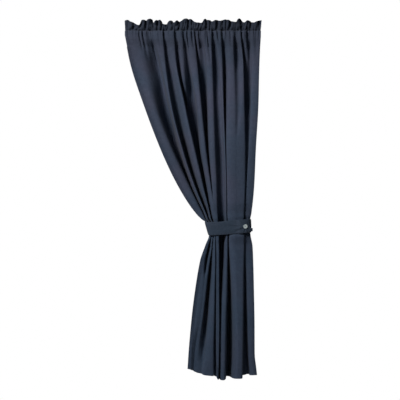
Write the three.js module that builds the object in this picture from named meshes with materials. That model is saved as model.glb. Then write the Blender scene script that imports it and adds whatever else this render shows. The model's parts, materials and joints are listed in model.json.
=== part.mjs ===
// A linen curtain panel on a rod pocket with a stand-up ruffle, drawn to its right side by a buttoned
// tieback. Millimetres, +Z up. The curtain faces -Y. The origin is the middle of the rod that the pocket
// is made for.

import * as THREE from 'three';

// Driving dimensions.
const FLAT_WIDTH = 1370;       // finished width of the panel before it is gathered
const CLOTH = 2;               // thickness of the hanging cloth with its texture
const GAP = 0.3;               // air between two pieces that meet
const ROD_RADIUS = 12.5;       // the rod that the pocket takes
const SEAM_TOP = 15;           // height of the gathering seam above the rod's axis
const SEAM_LOW = -84;          // height of the pocket's lower seam
const POCKET_STAND = 20;       // how far the pocket's folds stand off the rod
const SEAM_DEPTH = 10;         // depth of the tight gathers at the gathering seam
const NARROWS = { left: 15, right: 5 };  // how far each side of the pocket is drawn in at its lower seam
const RUFFLE_FLARE = 7;         // how far the ruffle spreads past the pocket at either end
const HANG = { forward: 8, downTo: -360 };  // the folds under the pocket hang forward, down to this height
const TIE_MIDDLE = -1155;      // height at which the tieback draws the folds tightest
const STRAP = 3;               // thickness of the tieback, two layers of cloth
const STRAP_CLEAR = 2.2;       // air between the tieback and the folds it holds
const LAP_GAP = 0.6;           // air between the tieback's two ends where they lie on each other
const BUTTON = { x: 306.5, z: -1146, radius: 12.5, thick: 5 };

// Heights of the sections at which the folds are laid out.
const LEVELS = {
  head: -15, collar: -188, chest: -426, waist: -694, ribs: -902, neck: -1069, roll: -1104,
  grip: -1120, tie: -1196, skirt: -1262, knee: -1360, shin: -1705, cuff: -1925, foot: -2015,
};
const LEVEL_NAMES = Object.keys(LEVELS);
const HEIGHTS = Object.values(LEVELS);

// The share of the flat width that shows in the folds at some heights. The rest lies in crumples too small
// to lay out: at the pocket's seam, and where the tie packs the cloth.
const TAKEN = [
  [SEAM_LOW, 0.84], [SEAM_LOW - 250, 1], [-640, 1], [-1000, 0.7], [-1090, 0.6], [-1155, 0.6], [-1215, 0.66],
  [-1330, 0.74], [-1705, 0.64], [-2015, 0.62],
];

// The folds that run the whole height, from left to right.
// hem: height of the bottom edge under the crown;
// back: heights, and how far the crown stands behind the foremost plane there, as shares of the depth;
// deep: heights, and how deep the valley on its right is there, as shares of the depth;
// floor: heights, and where the floor of that valley starts and ends there, as shares of its width;
// then, at each level, the left and right lip of the crown.
const FOLDS = [
  {
    name: 'edge', hem: -1990,
    back: [[-640, 0.04], [-1120, 0.14], [-1360, 0.02]],
    deep: [[-60, 1], [-180, 1.5], [-540, 1.45], [-694, 1.15], [-1300, 1], [-1480, 0]],
    floor: [
      [-158, 0.62, 0.84], [-277, 0.75, 0.92], [-396, 0.6, 0.94], [-515, 0.4, 0.9], [-694, 0.2, 0.72],
      [-1300, 0.2, 0.66], [-1480, 0.8, 0.9],
    ],
    head: [-403, -304], collar: [-368, -274], chest: [-290, -218], waist: [-187, -114], ribs: [-88, -20],
    neck: [21, 60], roll: [56, 76], grip: [80, 88], tie: [99, 104], skirt: [78, 91],
    knee: [46, 72], shin: [0, 30], cuff: [-16, -4], foot: [-22, -8],
  },
  {
    name: 'side', hem: -2004,
    back: [[-1120, 0.08], [-1705, 0.05], [-1900, 0.13]],
    deep: [[-1480, 1], [-1705, 0.6], [-1900, 0.38]],
    floor: [
      [-180, 0.1, 0.4], [-277, 0.1, 0.6], [-426, 0.1, 0.5], [-600, 0.1, 0.4], [-1500, 0.1, 0.4],
      [-1705, 0.2, 0.6], [-1900, 0.6, 0.88],
    ],
    head: [-224, -176], collar: [-189, -159], chest: [-142, -125], waist: [-74, -57], ribs: [-9, 13],
    neck: [66, 78], roll: [80, 91], grip: [94, 102], tie: [108, 118], skirt: [104, 113],
    knee: [86, 100], shin: [50, 62], cuff: [16, 34], foot: [8, 26],
  },
  {
    name: 'second', hem: -2024,
    back: [[0, 0.03]],
    deep: [
      [-120, 1], [-330, 1.35], [-560, 1.2], [-694, 1], [-900, 1], [-1021, 0.6], [-1196, 0.9],
      [-1330, 0.45], [-1705, 0.3],
    ],
    floor: [[0, 0.12, 0.84]],
    head: [-152, -110], collar: [-113, -95], chest: [-66, -45], waist: [-14, 16], ribs: [36, 64],
    neck: [90, 102], roll: [98, 109], grip: [107, 118], tie: [122, 132], skirt: [116, 134],
    knee: [113, 134], shin: [94, 128], cuff: [72, 124], foot: [64, 124],
  },
  {
    name: 'third', hem: -2037,
    back: [[0, 0.06]],
    deep: [[-120, 1], [-277, 1.25], [-426, 1.1], [-690, 1], [-1030, 0]],
    floor: [[0, 0.12, 0.6]],
    head: [-46, 10], collar: [-17, 30], chest: [22, 53], waist: [46, 82], ribs: [80, 108],
    neck: [110, 126], roll: [118, 128], grip: [123, 130], tie: [134, 138], skirt: [137, 141],
    knee: [138, 143], shin: [137, 142], cuff: [137, 142], foot: [137, 142],
  },
  {
    name: 'fourth', hem: -2047,
    back: [[0, 0], [-1360, 0.05]],
    deep: [
      [-150, 1], [-420, 0.48], [-694, 0.5], [-1069, 0.5], [-1196, 1], [-1527, 0.9], [-1705, 0.45],
    ],
    floor: [[0, 0.12, 0.88]],
    head: [58, 112], collar: [80, 118], chest: [86, 125], waist: [94, 134], ribs: [112, 143],
    neck: [129, 147], roll: [134, 149], grip: [138, 150], tie: [146, 154], skirt: [148, 155],
    knee: [149, 156], shin: [150, 156], cuff: [148, 155], foot: [147, 153],
  },
  {
    name: 'fifth', hem: -2053,
    back: [[0, 0.05], [-1360, 0.09]],
    deep: [[-426, 1], [-694, 0.45], [-1021, 0.25], [-1196, 0.4], [-1400, 1]],
    floor: [[0, 0.12, 0.42]],
    head: [128, 169], collar: [154, 177], chest: [173, 182], waist: [183, 192], ribs: [192, 197],
    neck: [193, 198], roll: [193, 199], grip: [192, 201], tie: [192, 204], skirt: [186, 206],
    knee: [182, 207], shin: [164, 201], cuff: [160, 198], foot: [160, 196],
  },
  {
    name: 'sixth', hem: -2040,
    back: [[0, 0]],
    deep: [[-110, 1], [-260, 0.34], [-480, 0.14], [-660, 0]],
    floor: [[0, 0.3, 0.7]],
    head: [208, 240], collar: [210, 246], chest: [202, 252], waist: [198, 250], ribs: [203, 253],
    neck: [203, 256], roll: [206, 256], grip: [208, 256], tie: [214, 256], skirt: [214, 257],
    knee: [220, 258], shin: [240, 268], cuff: [244, 270], foot: [240, 266],
  },
  {
    name: 'seventh', hem: -2040,
    back: [[0, 0.02], [-1400, 0]],
    deep: [
      [-200, 1], [-396, 0.8], [-515, 0.5], [-694, 0.3], [-1021, 0.2], [-1250, 0.2], [-1500, 0.45],
      [-1705, 0.6],
    ],
    floor: [[0, 0.1, 0.35]],
    head: [264, 284], collar: [290, 300], chest: [286, 306], waist: [265, 311], ribs: [262, 309],
    neck: [262, 303], roll: [262, 302], grip: [262, 301], tie: [264, 304], skirt: [266, 304],
    knee: [268, 303], shin: [274, 299], cuff: [272, 296], foot: [270, 294],
  },
  {
    name: 'last', hem: -2026,
    back: [[-1705, 0.15], [-2015, 0.22]],
    deep: [[0, 1]],
    floor: [[0, 0.1, 0.6]],
    head: [346, 402], collar: [350, 394], chest: [344, 388], waist: [331, 372], ribs: [318, 363],
    neck: [309, 346], roll: [309, 339], grip: [308, 338], tie: [309, 340], skirt: [310, 353],
    knee: [312, 357], shin: [318, 364], cuff: [326, 366], foot: [334, 376],
  },
];

// Small folds that stand in a valley under the heading.
// after: the fold on their left;
// top, end: the shares of the valley's width that they take at the heading and lower down;
// stands: the share of the valley's depth that they rise;
// dies: the heights between which they sink again.
const TUCKS = [
  { after: 'second', top: [0.33, 0.74], end: [0.1, 0.3], stands: 0.85, dies: [-260, -460] },
  { after: 'third', top: [0.16, 0.4], end: [0.16, 0.4], stands: 0.6, dies: [-60, -250] },
  { after: 'seventh', top: [0.33, 0.5], end: [0.33, 0.5], stands: 0.8, dies: [-60, -260] },
];
const TUCK_FLOOR = [0.2, 0.85];  // where the floor beside a tuck starts and ends, as shares of its width

// The ruffle's top edge from left to right: x, height above the rod's axis, and lean to the back.
const RUFFLE = [
  [-404, 76, 4], [-380, 75, -6], [-368, 66, -14], [-352, 63, 10], [-335, 52, -4], [-313, 50, -14],
  [-303, 74, -16], [-295, 76, -16], [-280, 76, 10], [-262, 80, -14], [-254, 82, -16], [-239, 76, 12],
  [-231, 62, 0], [-220, 73, -14], [-207, 77, 12], [-196, 76, -10], [-184, 65, 10], [-173, 53, -8],
  [-149, 62, 12], [-137, 72, -12], [-119, 70, 10], [-112, 62, -2], [-96, 72, -12], [-82, 69, 12],
  [-68, 71, -4], [-54, 81, -12], [-42, 83, -14], [-24, 83, 12], [-17, 83, -6], [-4, 80, 12],
  [12, 66, -4], [38, 60, -12], [58, 64, -12], [66, 80, -14], [84, 79, 12], [92, 76, -8],
  [104, 77, 12], [116, 68, -2], [130, 74, -14], [145, 80, 12], [160, 72, -4], [184, 77, -10],
  [206, 76, -14], [221, 75, 10], [240, 67, -6], [258, 66, -14], [266, 81, -14], [292, 74, 14],
  [304, 63, -4], [322, 73, -14], [345, 68, 12], [362, 62, -8], [376, 69, -12], [388, 76, 8], [405, 77, 2],
].map(([x, top, lean]) => ({ x, top, lean }));
const RUFFLE_FORWARD = 8;        // how far the ruffle stands forward of the gathering seam
const RUFFLE_BACK = [8, 10];     // the points of the heading's outside ring that run down the ruffle's back
const WIDE_COLUMN = 27;          // the heading has a column more between two that lie this far apart

// Heights of the panel's rows, closer together where the cloth bends into the tie.
const HELD_ROWS = [-1092, -1118, -1155, -1196, -1240];
const ROWS = [
  -160, -270, -400, -540, -680, -800, -902, -985, -1050, ...HELD_ROWS, -1300, -1380, -1480, -1640, -1800,
  -1925,
];

// The tieback: the places of its sides and edges, of its two ends, where its free end straightens and how
// it slants on from there, and how far up and down it narrows the folds.
const TIE = {
  leftTop: 68, leftLow: 91, right: 346,
  topLeft: -1118, topRight: -1103, lowLeft: -1201, lowRight: -1182,
  innerEnd: 278, lapFrom: 252, tip: 352, tipHeight: -1166, tipHalf: 9,
  bend: 314, slant: 0.36, reach: 170,
};

const clamp = (v, lo, hi) => Math.min(Math.max(v, lo), hi);
const mix = (a, b, t) => a + (b - a) * t;

function ease(a, b, v) {
  const t = clamp((v - a) / (b - a), 0, 1);
  return t * t * (3 - 2 * t);
}

// A smooth curve through a fold's values at the levels, read at one height.
function between(values, z) {
  const last = HEIGHTS.length - 1;
  if (z >= HEIGHTS[0]) return values[0];
  if (z <= HEIGHTS[last]) {
    const slope = (values[last] - values[last - 1]) / (HEIGHTS[last] - HEIGHTS[last - 1]);
    return values[last] + slope * (z - HEIGHTS[last]);
  }
  let i = 0;
  while (z < HEIGHTS[i + 1]) i += 1;
  const step = (k) => (values[k + 1] - values[k]) / (HEIGHTS[k + 1] - HEIGHTS[k]);
  const tangent = (k) => {
    if (k === 0) return step(0);
    if (k === last) return step(last - 1);
    const [a, b] = [step(k - 1), step(k)];
    return a * b > 0 ? (2 * a * b) / (a + b) : 0;
  };
  const h = HEIGHTS[i + 1] - HEIGHTS[i];
  const t = (z - HEIGHTS[i]) / h;
  const [t2, t3] = [t * t, t * t * t];
  return values[i] * (2 * t3 - 3 * t2 + 1) + values[i + 1] * (3 * t2 - 2 * t3)
    + h * (tangent(i) * (t3 - 2 * t2 + t) + tangent(i + 1) * (t3 - t2));
}

// What rows of a height and its shares give at one height.
function profile(rows, z) {
  const at = rows.findIndex(([height], i) => i > 0 && z > height);
  if (at === -1) return rows.at(-1).slice(1);
  const [[upper, ...before], [lower, ...after]] = [rows[at - 1], rows[at]];
  return before.map((share, k) => mix(share, after[k], ease(upper, lower, z)));
}

// Every fold at one height, tucks included, from left to right.
function foldsAt(z) {
  const lips = FOLDS.map((fold) => [0, 1].map((side) => between(LEVEL_NAMES.map((n) => fold[n][side]), z)));
  const backs = FOLDS.map((fold) => profile(fold.back, z)[0]);
  return FOLDS.flatMap((fold, i) => {
    const [left, right] = lips[i];
    const [deep] = profile(fold.deep, z);
    const floor = profile(fold.floor, z);
    const rib = { left, right, back: backs[i], deep, floor, hem: fold.hem, tuck: false };
    const tuck = TUCKS.find((t) => t.after === fold.name);
    if (!tuck) return [rib];
    const gap = lips[i + 1][0] - right;
    const t = ease(LEVELS.head, tuck.dies[1], z);
    const share = [0, 1].map((side) => right + gap * mix(tuck.top[side], tuck.end[side], t));
    const kept = 1 - ease(...tuck.dies, z);
    const back = Math.max(deep * (1 - tuck.stands * kept), (backs[i] + backs[i + 1]) / 2);
    const hem = (fold.hem + FOLDS[i + 1].hem) / 2;
    return [rib, { left: share[0], right: share[1], back, deep, floor: TUCK_FLOOR, hem, tuck: true }];
  });
}

// How far the bottom of a deep valley reaches behind the crown beside it.
function undercut(rib, floor) {
  if (rib.tuck) return 0;
  return Math.min(0.12 * (rib.right - rib.left), 7) * ease(0.1, 0.6, floor - rib.back);
}

// The section's control points at one height for a depth of 1: three on each crown and four in each valley.
// y runs from 0 at the foremost crown to 1 in a plain valley.
function sectionPoints(z) {
  const ribs = foldsAt(z);
  const points = [];
  let before = 1;
  ribs.forEach((rib, i) => {
    const next = ribs[i + 1];
    const floor = next ? Math.max(rib.deep, rib.back, next.back) : 1;
    const after = floor - rib.back;
    points.push([rib.left, rib.back + (i ? 0.14 * before : 0.04), rib.hem]);
    points.push([mix(rib.left, rib.right, 0.65), rib.back, rib.hem]);
    points.push([rib.right, rib.back + (next ? 0.07 * after : 0.04), rib.hem]);
    if (!next) return;
    before = floor - next.back;
    const gap = next.left - rib.right;
    const near = rib.right + rib.floor[0] * gap - undercut(rib, floor);
    const far = rib.right + rib.floor[1] * gap;
    const hem = (rib.hem + next.hem) / 2;
    points.push([mix(rib.right, near, 0.6), mix(rib.back, floor, 0.55), hem]);
    points.push([near, floor, hem]);
    points.push([far, floor, hem]);
    points.push([mix(next.left, far, 0.55), mix(next.back, floor, 0.55), hem]);
  });
  return points;
}

// A smooth line through the control points, read at the place s counted in points.
function smooth(points, s) {
  const i = clamp(Math.floor(s), 0, points.length - 2);
  const t = s - i;
  const at = (k) => {
    if (k < 0) return points[0].map((v, n) => 2 * v - points[1][n]);
    if (k >= points.length) return points.at(-1).map((v, n) => 2 * v - points.at(-2)[n]);
    return points[k];
  };
  const weights = [(1 - t) ** 3, 3 * t ** 3 - 6 * t ** 2 + 4, -3 * t ** 3 + 3 * t ** 2 + 3 * t + 1, t ** 3];
  return points[0].map((_, n) => weights.reduce((sum, w, k) => sum + (w * at(i + k - 1)[n]) / 6, 0));
}

// Places along a section: the crown's lips and top, both flanks and the bottom of each valley.
function columnPlaces(count) {
  const places = [];
  for (let base = 0; base < count; base += 7) {
    places.push(base, base + 1, base + 2);
    if (base + 6 < count) places.push(base + 3, base + 4.5, base + 6);
  }
  return places;
}

// One section of the panel: the folds are as deep as the gathered cloth needs.
function section(z) {
  const points = sectionPoints(z);
  const line = columnPlaces(points.length).map((s) => smooth(points, s));
  const [left, right] = [line[0][0], line.at(-1)[0]];
  const narrowing = 0.12 + 0.36 * Math.exp(-(((z - TIE_MIDDLE) / TIE.reach) ** 2));
  const forward = HANG.forward * ease(HANG.downTo, SEAM_LOW, z);
  const lay = (depth) => line.map(([x, y, hem]) => {
    const across = (2 * (x - left)) / (right - left) - 1;
    const taper = 1 - narrowing * Math.abs(across) ** 2.5;
    return [x, (y - 0.5) * depth * taper - forward, hem];
  });
  const step = (p, q) => Math.hypot(p[0] - q[0], p[1] - q[1]);
  const length = (row) => row.slice(1).reduce((sum, point, i) => sum + step(point, row[i]), 0);
  const width = FLAT_WIDTH * profile(TAKEN, z)[0];
  let [low, high] = [1, 200];
  for (let i = 0; i < 30; i += 1) {
    const half = (low + high) / 2;
    if (length(lay(half)) < width) low = half;
    else high = half;
  }
  return lay(low);
}

// A closed body from a grid of front points and one of back points: rows run down, columns to the right.
function sheetBody(front, back) {
  const [rows, columns] = [front.length, front[0].length];
  const position = [...front.flat(), ...back.flat()].flat();
  const f = (r, c) => r * columns + c;
  const b = (r, c) => rows * columns + f(r, c);
  const index = [];
  const quad = (p, q, r, s) => index.push(p, q, r, p, r, s);
  for (let r = 0; r + 1 < rows; r += 1) {
    for (let c = 0; c + 1 < columns; c += 1) {
      quad(f(r, c), f(r + 1, c), f(r + 1, c + 1), f(r, c + 1));
      quad(b(r, c), b(r, c + 1), b(r + 1, c + 1), b(r + 1, c));
    }
    quad(f(r, 0), b(r, 0), b(r + 1, 0), f(r + 1, 0));
    quad(f(r, columns - 1), f(r + 1, columns - 1), b(r + 1, columns - 1), b(r, columns - 1));
  }
  for (let c = 0; c + 1 < columns; c += 1) {
    quad(f(0, c), f(0, c + 1), b(0, c + 1), b(0, c));
    quad(f(rows - 1, c), b(rows - 1, c), b(rows - 1, c + 1), f(rows - 1, c + 1));
  }
  return bodyFrom(position, index);
}

function bodyFrom(position, index) {
  const geometry = new THREE.BufferGeometry();
  geometry.setAttribute('position', new THREE.Float32BufferAttribute(position, 3));
  geometry.setIndex(index);
  geometry.computeVertexNormals();
  return geometry;
}

// Moves each point of a grid along the grid's own normal, which faces the front.
function offset(grid, distance) {
  const [rows, columns] = [grid.length, grid[0].length];
  const pick = (r, c) => new THREE.Vector3(...grid[clamp(r, 0, rows - 1)][clamp(c, 0, columns - 1)]);
  return grid.map((row, r) => row.map((point, c) => {
    const toRight = pick(r, c + 1).sub(pick(r, c)).normalize();
    const across = pick(r, c).sub(pick(r, c - 1)).normalize().add(toRight);
    const down = pick(r + 1, c).sub(pick(r - 1, c));
    const normal = down.cross(across).normalize();
    return new THREE.Vector3(...point).addScaledVector(normal, distance).toArray();
  }));
}

// The hanging cloth, from the pocket's lower seam to the hem.
function panelGeometry() {
  const top = SEAM_LOW - GAP;
  const lowest = Math.min(...FOLDS.map((fold) => fold.hem));
  const grid = [top, ...ROWS, lowest].map((z) => section(z).map(([x, y, hem]) => {
    const lift = (hem - lowest) * ease(LEVELS.tie, lowest, z);
    return [x, y, z + lift];
  }));
  const front = offset(grid, CLOTH / 2);
  const back = offset(grid, -CLOTH / 2);
  [front, back].forEach((side) => side[0].forEach((point) => point.splice(2, 1, top)));
  return sheetBody(front, back);
}

// How far back the gathered cloth of the heading lies at x: 0 on a crown and 1 in a valley.
function pleat(x) {
  const ribs = foldsAt(LEVELS.head);
  const at = ribs.findIndex((rib) => x <= rib.right);
  if (at === -1) return 0.35;
  if (x >= ribs[at].left || at === 0) return ribs[at].back;
  const [left, right] = [ribs[at - 1], ribs[at]];
  const t = (x - left.right) / (right.left - left.right);
  const rim = mix(left.back, right.back, t);
  return mix(rim, left.deep, Math.sin(Math.PI * t) ** 2);
}

// The panel's top edge as a line from left to right, read at x: the heading's lower seam lies over it.
function seamLine() {
  const line = [];
  section(SEAM_LOW).forEach((point) => {
    if (!line.length || point[0] > line.at(-1)[0] + 1) line.push(point);
  });
  return (x) => {
    const at = clamp(line.findIndex((point) => point[0] > x), 1, line.length - 1);
    const [a, b] = [line[at - 1], line[at]];
    return mix(a[1], b[1], clamp((x - a[0]) / (b[0] - a[0]), 0, 1));
  };
}

// Columns of the heading: the ruffle's own points, and one between two that lie far apart.
function headingColumns() {
  return RUFFLE.flatMap((a, i) => {
    const b = RUFFLE[i + 1];
    if (!b || b.x - a.x < WIDE_COLUMN) return [a];
    return [a, { x: (a.x + b.x) / 2, top: (a.top + b.top) / 2, lean: (a.lean + b.lean) / 2 }];
  });
}

// The rod pocket and its ruffle: a ring of points round each column, outside and inside the pocket.
function headingGeometry() {
  const lowAt = seamLine();
  const [room, half] = [ROD_RADIUS + 1.2, CLOTH / 2];
  const rings = headingColumns().map(({ x, top, lean }) => {
    const share = (x - RUFFLE[0].x) / (RUFFLE.at(-1).x - RUFFLE[0].x);
    const drawnIn = mix(NARROWS.left, -NARROWS.right, share);
    const wave = pleat(x);
    const seam = (wave - 0.5) * SEAM_DEPTH;
    const low = lowAt(x + drawnIn);
    const front = -room - half - POCKET_STAND * (1 - wave);
    const back = room + half + POCKET_STAND * wave;
    const frontMid = mix(front, low - 3, 0.55);
    const backMid = mix(back, low + 3, 0.55);
    const edge = lean - RUFFLE_FORWARD;
    const ruffle = mix(seam, edge, 0.6);
    const outside = [
      [low - CLOTH, SEAM_LOW], [frontMid - half, -50], [front - half, -16], [front - half, 3],
      [mix(front, seam, 0.45) - half, SEAM_TOP - 2.5], [seam - CLOTH, SEAM_TOP + 1],
      [ruffle - CLOTH, mix(SEAM_TOP, top, 0.5)], [edge - CLOTH, top],
      [edge + CLOTH, top], [ruffle + CLOTH, mix(SEAM_TOP, top, 0.5)],
      [seam + CLOTH, SEAM_TOP + 1], [mix(back, seam, 0.45) + half, SEAM_TOP - 2.5],
      [back + half, 3], [back + half, -16], [backMid + half, -50], [low + CLOTH, SEAM_LOW],
    ];
    const inside = [
      [low, SEAM_LOW + 5], [frontMid + half, -50], [front + half, -16], [front + half, 3],
      [mix(front, seam, 0.45) + half, SEAM_TOP - 4.2], [mix(back, seam, 0.45) - half, SEAM_TOP - 4.2],
      [back - half, 3], [back - half, -16], [backMid - half, -50],
    ];
    const flare = RUFFLE_FLARE * (x / RUFFLE.at(-1).x) ** 9;
    const across = (z) => x + drawnIn * ease(SEAM_TOP, SEAM_LOW, z)
      + flare * clamp((z - SEAM_TOP) / (top - SEAM_TOP), 0, 1);
    return { outside, inside, across };
  });
  const position = rings.flatMap(({ outside, inside, across }) => (
    [...outside, ...inside].flatMap(([y, z]) => [across(z), y, z])
  ));
  return ringBody(position, rings.length, rings[0].outside.length, rings[0].inside.length, RUFFLE_BACK);
}

// Joins rings of outside and inside points into one tube, and closes its two ends with a flat face.
// Faces on both sides of the cloth are split along the same diagonal, so that the two sides never cross:
// those from turned[0] to turned[1], down the ruffle's back, along the other one.
function ringBody(position, count, outer, inner, turned) {
  const size = outer + inner;
  const index = [];
  const quad = (p, q, r, s) => index.push(p, q, r, p, r, s);
  for (let k = 0; k + 1 < count; k += 1) {
    for (let i = 0; i < outer; i += 1) {
      const j = (i + 1) % outer;
      const corners = [k * size + i, (k + 1) * size + i, (k + 1) * size + j, k * size + j];
      if (i >= turned[0] && i < turned[1]) corners.push(corners.shift());
      quad(...corners);
    }
    for (let i = 0; i < inner; i += 1) {
      const [near, far] = [k * size + outer, (k + 1) * size + outer];
      const j = (i + 1) % inner;
      quad(near + i, near + j, far + j, far + i);
    }
  }
  [0, count - 1].forEach((k) => {
    const point = (i) => {
      const from = 3 * (k * size + i);
      return new THREE.Vector2(position[from + 1], position[from + 2]);
    };
    const ring = (from, n) => Array.from({ length: n }, (_, i) => point(from + i));
    THREE.ShapeUtils.triangulateShape(ring(0, outer), [ring(outer, inner)]).forEach((face) => {
      const facesRight = THREE.ShapeUtils.area(face.map(point)) > 0;
      const corners = face.map((i) => k * size + i);
      index.push(...(facesRight === (k > 0) ? corners : corners.reverse()));
    });
  });
  return bodyFrom(position, index);
}

// The bundle's half depth under the tieback, measured on the rows of folds that it reaches over.
function bundleDepth() {
  const depths = HELD_ROWS.flatMap((z) => section(z).map((point) => Math.abs(point[1])));
  return Math.max(...depths) + CLOTH / 2;
}

// The tieback's middle line seen from above is an oval with soft corners, four times as square as round.
const TIE_SQUARE = 4;
const TIE_CENTRE = (TIE.right + TIE.leftTop) / 2;
const TIE_HALF_WIDTH = (TIE.right - TIE.leftTop - STRAP) / 2;
const TIE_HALF_DEPTH = bundleDepth() + STRAP_CLEAR + STRAP / 2;

// The front of that oval at x, and how it slopes there.
function tieFront(x) {
  const across = Math.abs((x - TIE_CENTRE) / TIE_HALF_WIDTH);
  return -TIE_HALF_DEPTH * (1 - across ** TIE_SQUARE) ** (1 / TIE_SQUARE);
}

const tieSlope = (x) => tieFront(x + 0.5) - tieFront(x - 0.5);

// The free end's middle line at x, lying on the inner end's front.
function lapFront(x) {
  const near = Math.min(x, TIE.bend);
  const over = ease(TIE.lapFrom, TIE.innerEnd - 3, x) * (STRAP + LAP_GAP) * Math.hypot(1, tieSlope(near));
  return tieFront(near) + TIE.slant * (x - near) - over;
}

// The tieback's middle line seen from above: from its inner end at the front, round the right side, the
// back and the left side, to its free end, which lies over the inner end.
function tieRoute() {
  const count = 44;
  const loop = Array.from({ length: count }, (_, i) => {
    const angle = ((i / count) * 2 - 0.5) * Math.PI;
    const [c, s] = [Math.cos(angle), Math.sin(angle)];
    const out = (v) => Math.sign(v) * Math.abs(v) ** (2 / TIE_SQUARE);
    return [TIE_CENTRE + TIE_HALF_WIDTH * out(c), TIE_HALF_DEPTH * out(s)];
  });
  const start = loop.findIndex(([x]) => x > TIE.innerEnd);
  const before = loop.slice(0, start).filter(([x]) => x < TIE.lapFrom - 3);
  const rise = [0, 0.35, 0.65, 1].map((share) => mix(TIE.lapFrom, TIE.innerEnd - 2, share));
  const lap = [0.25, 0.5, 0.75, 1].map((share) => mix(TIE.innerEnd, TIE.bend, share));
  const end = [0.5, 1].map((share) => mix(TIE.bend, TIE.tip, share));
  const free = [...rise, ...lap, ...end].map((x) => [x, lapFront(x)]);
  return [[TIE.innerEnd, tieFront(TIE.innerEnd)], ...loop.slice(start), ...before, ...free];
}

// The tieback's left side leans in towards its lower edge: how far x moves at a share of the way down.
const tieLean = (x, down) => (TIE.leftLow - TIE.leftTop) * down * (1 - tieShare(x));
const tieShare = (x) => (x - TIE.leftTop) / (TIE.right - TIE.leftTop);
const tieTop = (x) => mix(TIE.topLeft, TIE.topRight, tieShare(x));
const tieLow = (x) => mix(TIE.lowLeft, TIE.lowRight, tieShare(x));

// The tieback: three rows of points along its middle line, drawn to a point at its free end.
function tiebackGeometry() {
  const route = tieRoute();
  const grid = [0, 0.5, 1].map((down) => route.map(([x, y], i) => {
    const point = i > route.length / 2 ? ease(BUTTON.x - 12, TIE.tip, x) : 0;
    const short = TIE.tipHeight + TIE.tipHalf * (1 - 2 * down);
    return [x + tieLean(x, down), y, mix(mix(tieTop(x), tieLow(x), down), short, point)];
  }));
  return sheetBody(offset(grid, STRAP / 2), offset(grid, -STRAP / 2));
}

// A low round button with a raised rim and a domed middle.
function buttonGeometry() {
  const profile = [  // shares of the radius and of the thickness
    [0, 0], [0.62, 0], [0.92, 0.12], [1, 0.4], [0.97, 0.72], [0.84, 0.86],
    [0.7, 0.74], [0.5, 0.86], [0.25, 0.97], [0, 1],
  ];
  const points = profile.map(([r, h]) => new THREE.Vector2(r * BUTTON.radius, h * BUTTON.thick));
  return new THREE.LatheGeometry(points, 20);
}

const linen = (tint) => new THREE.MeshStandardMaterial({ color: tint, roughness: 0.9, metalness: 0 });
const shell = new THREE.MeshStandardMaterial({ color: 0xa3aba8, roughness: 0.35, metalness: 0.2 });

function piece(name, geometry, material) {
  const mesh = new THREE.Mesh(geometry, material);
  mesh.name = name;
  return mesh;
}

// The button lies flat on the free end, turned to its slope.
const button = piece('button', buttonGeometry(), shell);
const buttonTurn = Math.atan(tieSlope(BUTTON.x));
const buttonDown = (tieTop(BUTTON.x) - BUTTON.z) / (tieTop(BUTTON.x) - tieLow(BUTTON.x));
const buttonStand = STRAP / 2 + GAP;
button.rotation.z = Math.PI + buttonTurn;
button.position.set(
  BUTTON.x + tieLean(BUTTON.x, buttonDown) + buttonStand * Math.sin(buttonTurn),
  lapFront(BUTTON.x) - buttonStand * Math.cos(buttonTurn),
  BUTTON.z,
);

const curtain = new THREE.Group();
curtain.add(
  piece('panel', panelGeometry(), linen(0x3c475c)),
  piece('heading', headingGeometry(), linen(0x384357)),
  piece('tieback', tiebackGeometry(), linen(0x303e4b)),
  button,
);

export default curtain;
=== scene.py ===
"""A gathered linen curtain panel on a rod pocket, drawn to its right side by a buttoned tieback.

The cloth is laid out in millimetres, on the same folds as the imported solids. Its meshes are made in metres,
in the frame's own axes: +Z up, the curtain faces -Y, and the origin is the middle of the rod.
"""

import functools
import json
import math

import bpy
import numpy as np
from mathutils import Matrix, Vector


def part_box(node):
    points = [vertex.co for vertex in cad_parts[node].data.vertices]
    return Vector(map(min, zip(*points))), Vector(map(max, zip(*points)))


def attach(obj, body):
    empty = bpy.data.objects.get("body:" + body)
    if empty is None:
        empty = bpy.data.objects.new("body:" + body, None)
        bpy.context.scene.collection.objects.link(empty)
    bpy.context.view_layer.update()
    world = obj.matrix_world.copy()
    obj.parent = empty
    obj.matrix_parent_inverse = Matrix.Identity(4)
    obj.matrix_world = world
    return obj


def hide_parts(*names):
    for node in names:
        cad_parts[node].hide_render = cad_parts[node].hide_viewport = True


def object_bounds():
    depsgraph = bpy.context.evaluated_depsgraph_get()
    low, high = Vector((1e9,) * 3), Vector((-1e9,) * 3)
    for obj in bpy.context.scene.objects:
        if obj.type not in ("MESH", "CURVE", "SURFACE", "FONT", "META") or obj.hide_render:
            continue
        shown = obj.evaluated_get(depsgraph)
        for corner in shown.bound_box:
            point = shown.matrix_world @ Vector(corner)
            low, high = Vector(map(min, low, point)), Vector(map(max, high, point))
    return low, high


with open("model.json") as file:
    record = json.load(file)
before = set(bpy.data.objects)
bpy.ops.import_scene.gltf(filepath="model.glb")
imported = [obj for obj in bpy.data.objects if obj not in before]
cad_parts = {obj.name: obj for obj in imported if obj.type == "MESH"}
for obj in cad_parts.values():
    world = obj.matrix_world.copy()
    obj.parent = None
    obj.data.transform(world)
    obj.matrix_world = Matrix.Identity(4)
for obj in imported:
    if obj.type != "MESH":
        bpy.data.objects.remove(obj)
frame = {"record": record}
cad_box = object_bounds()

MM = 0.001


def box_mm(node):
    """The lowest and the highest corner of one of the frame's nodes, in millimetres."""
    low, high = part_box(node)
    return np.array(low) / MM, np.array(high) / MM


# ---- sizes, in millimetres

PANEL_LOW, PANEL_HIGH = box_mm("panel")
BUTTON_LOW, BUTTON_HIGH = box_mm("button")
STRAP_BACK = box_mm("tieback")[1][1]  # how far back the tieback reaches
ROD_RADIUS = next(m for m in frame["record"]["mounts"] if m["name"] == "rod_pocket")["dims"]["r_mm"]

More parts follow.
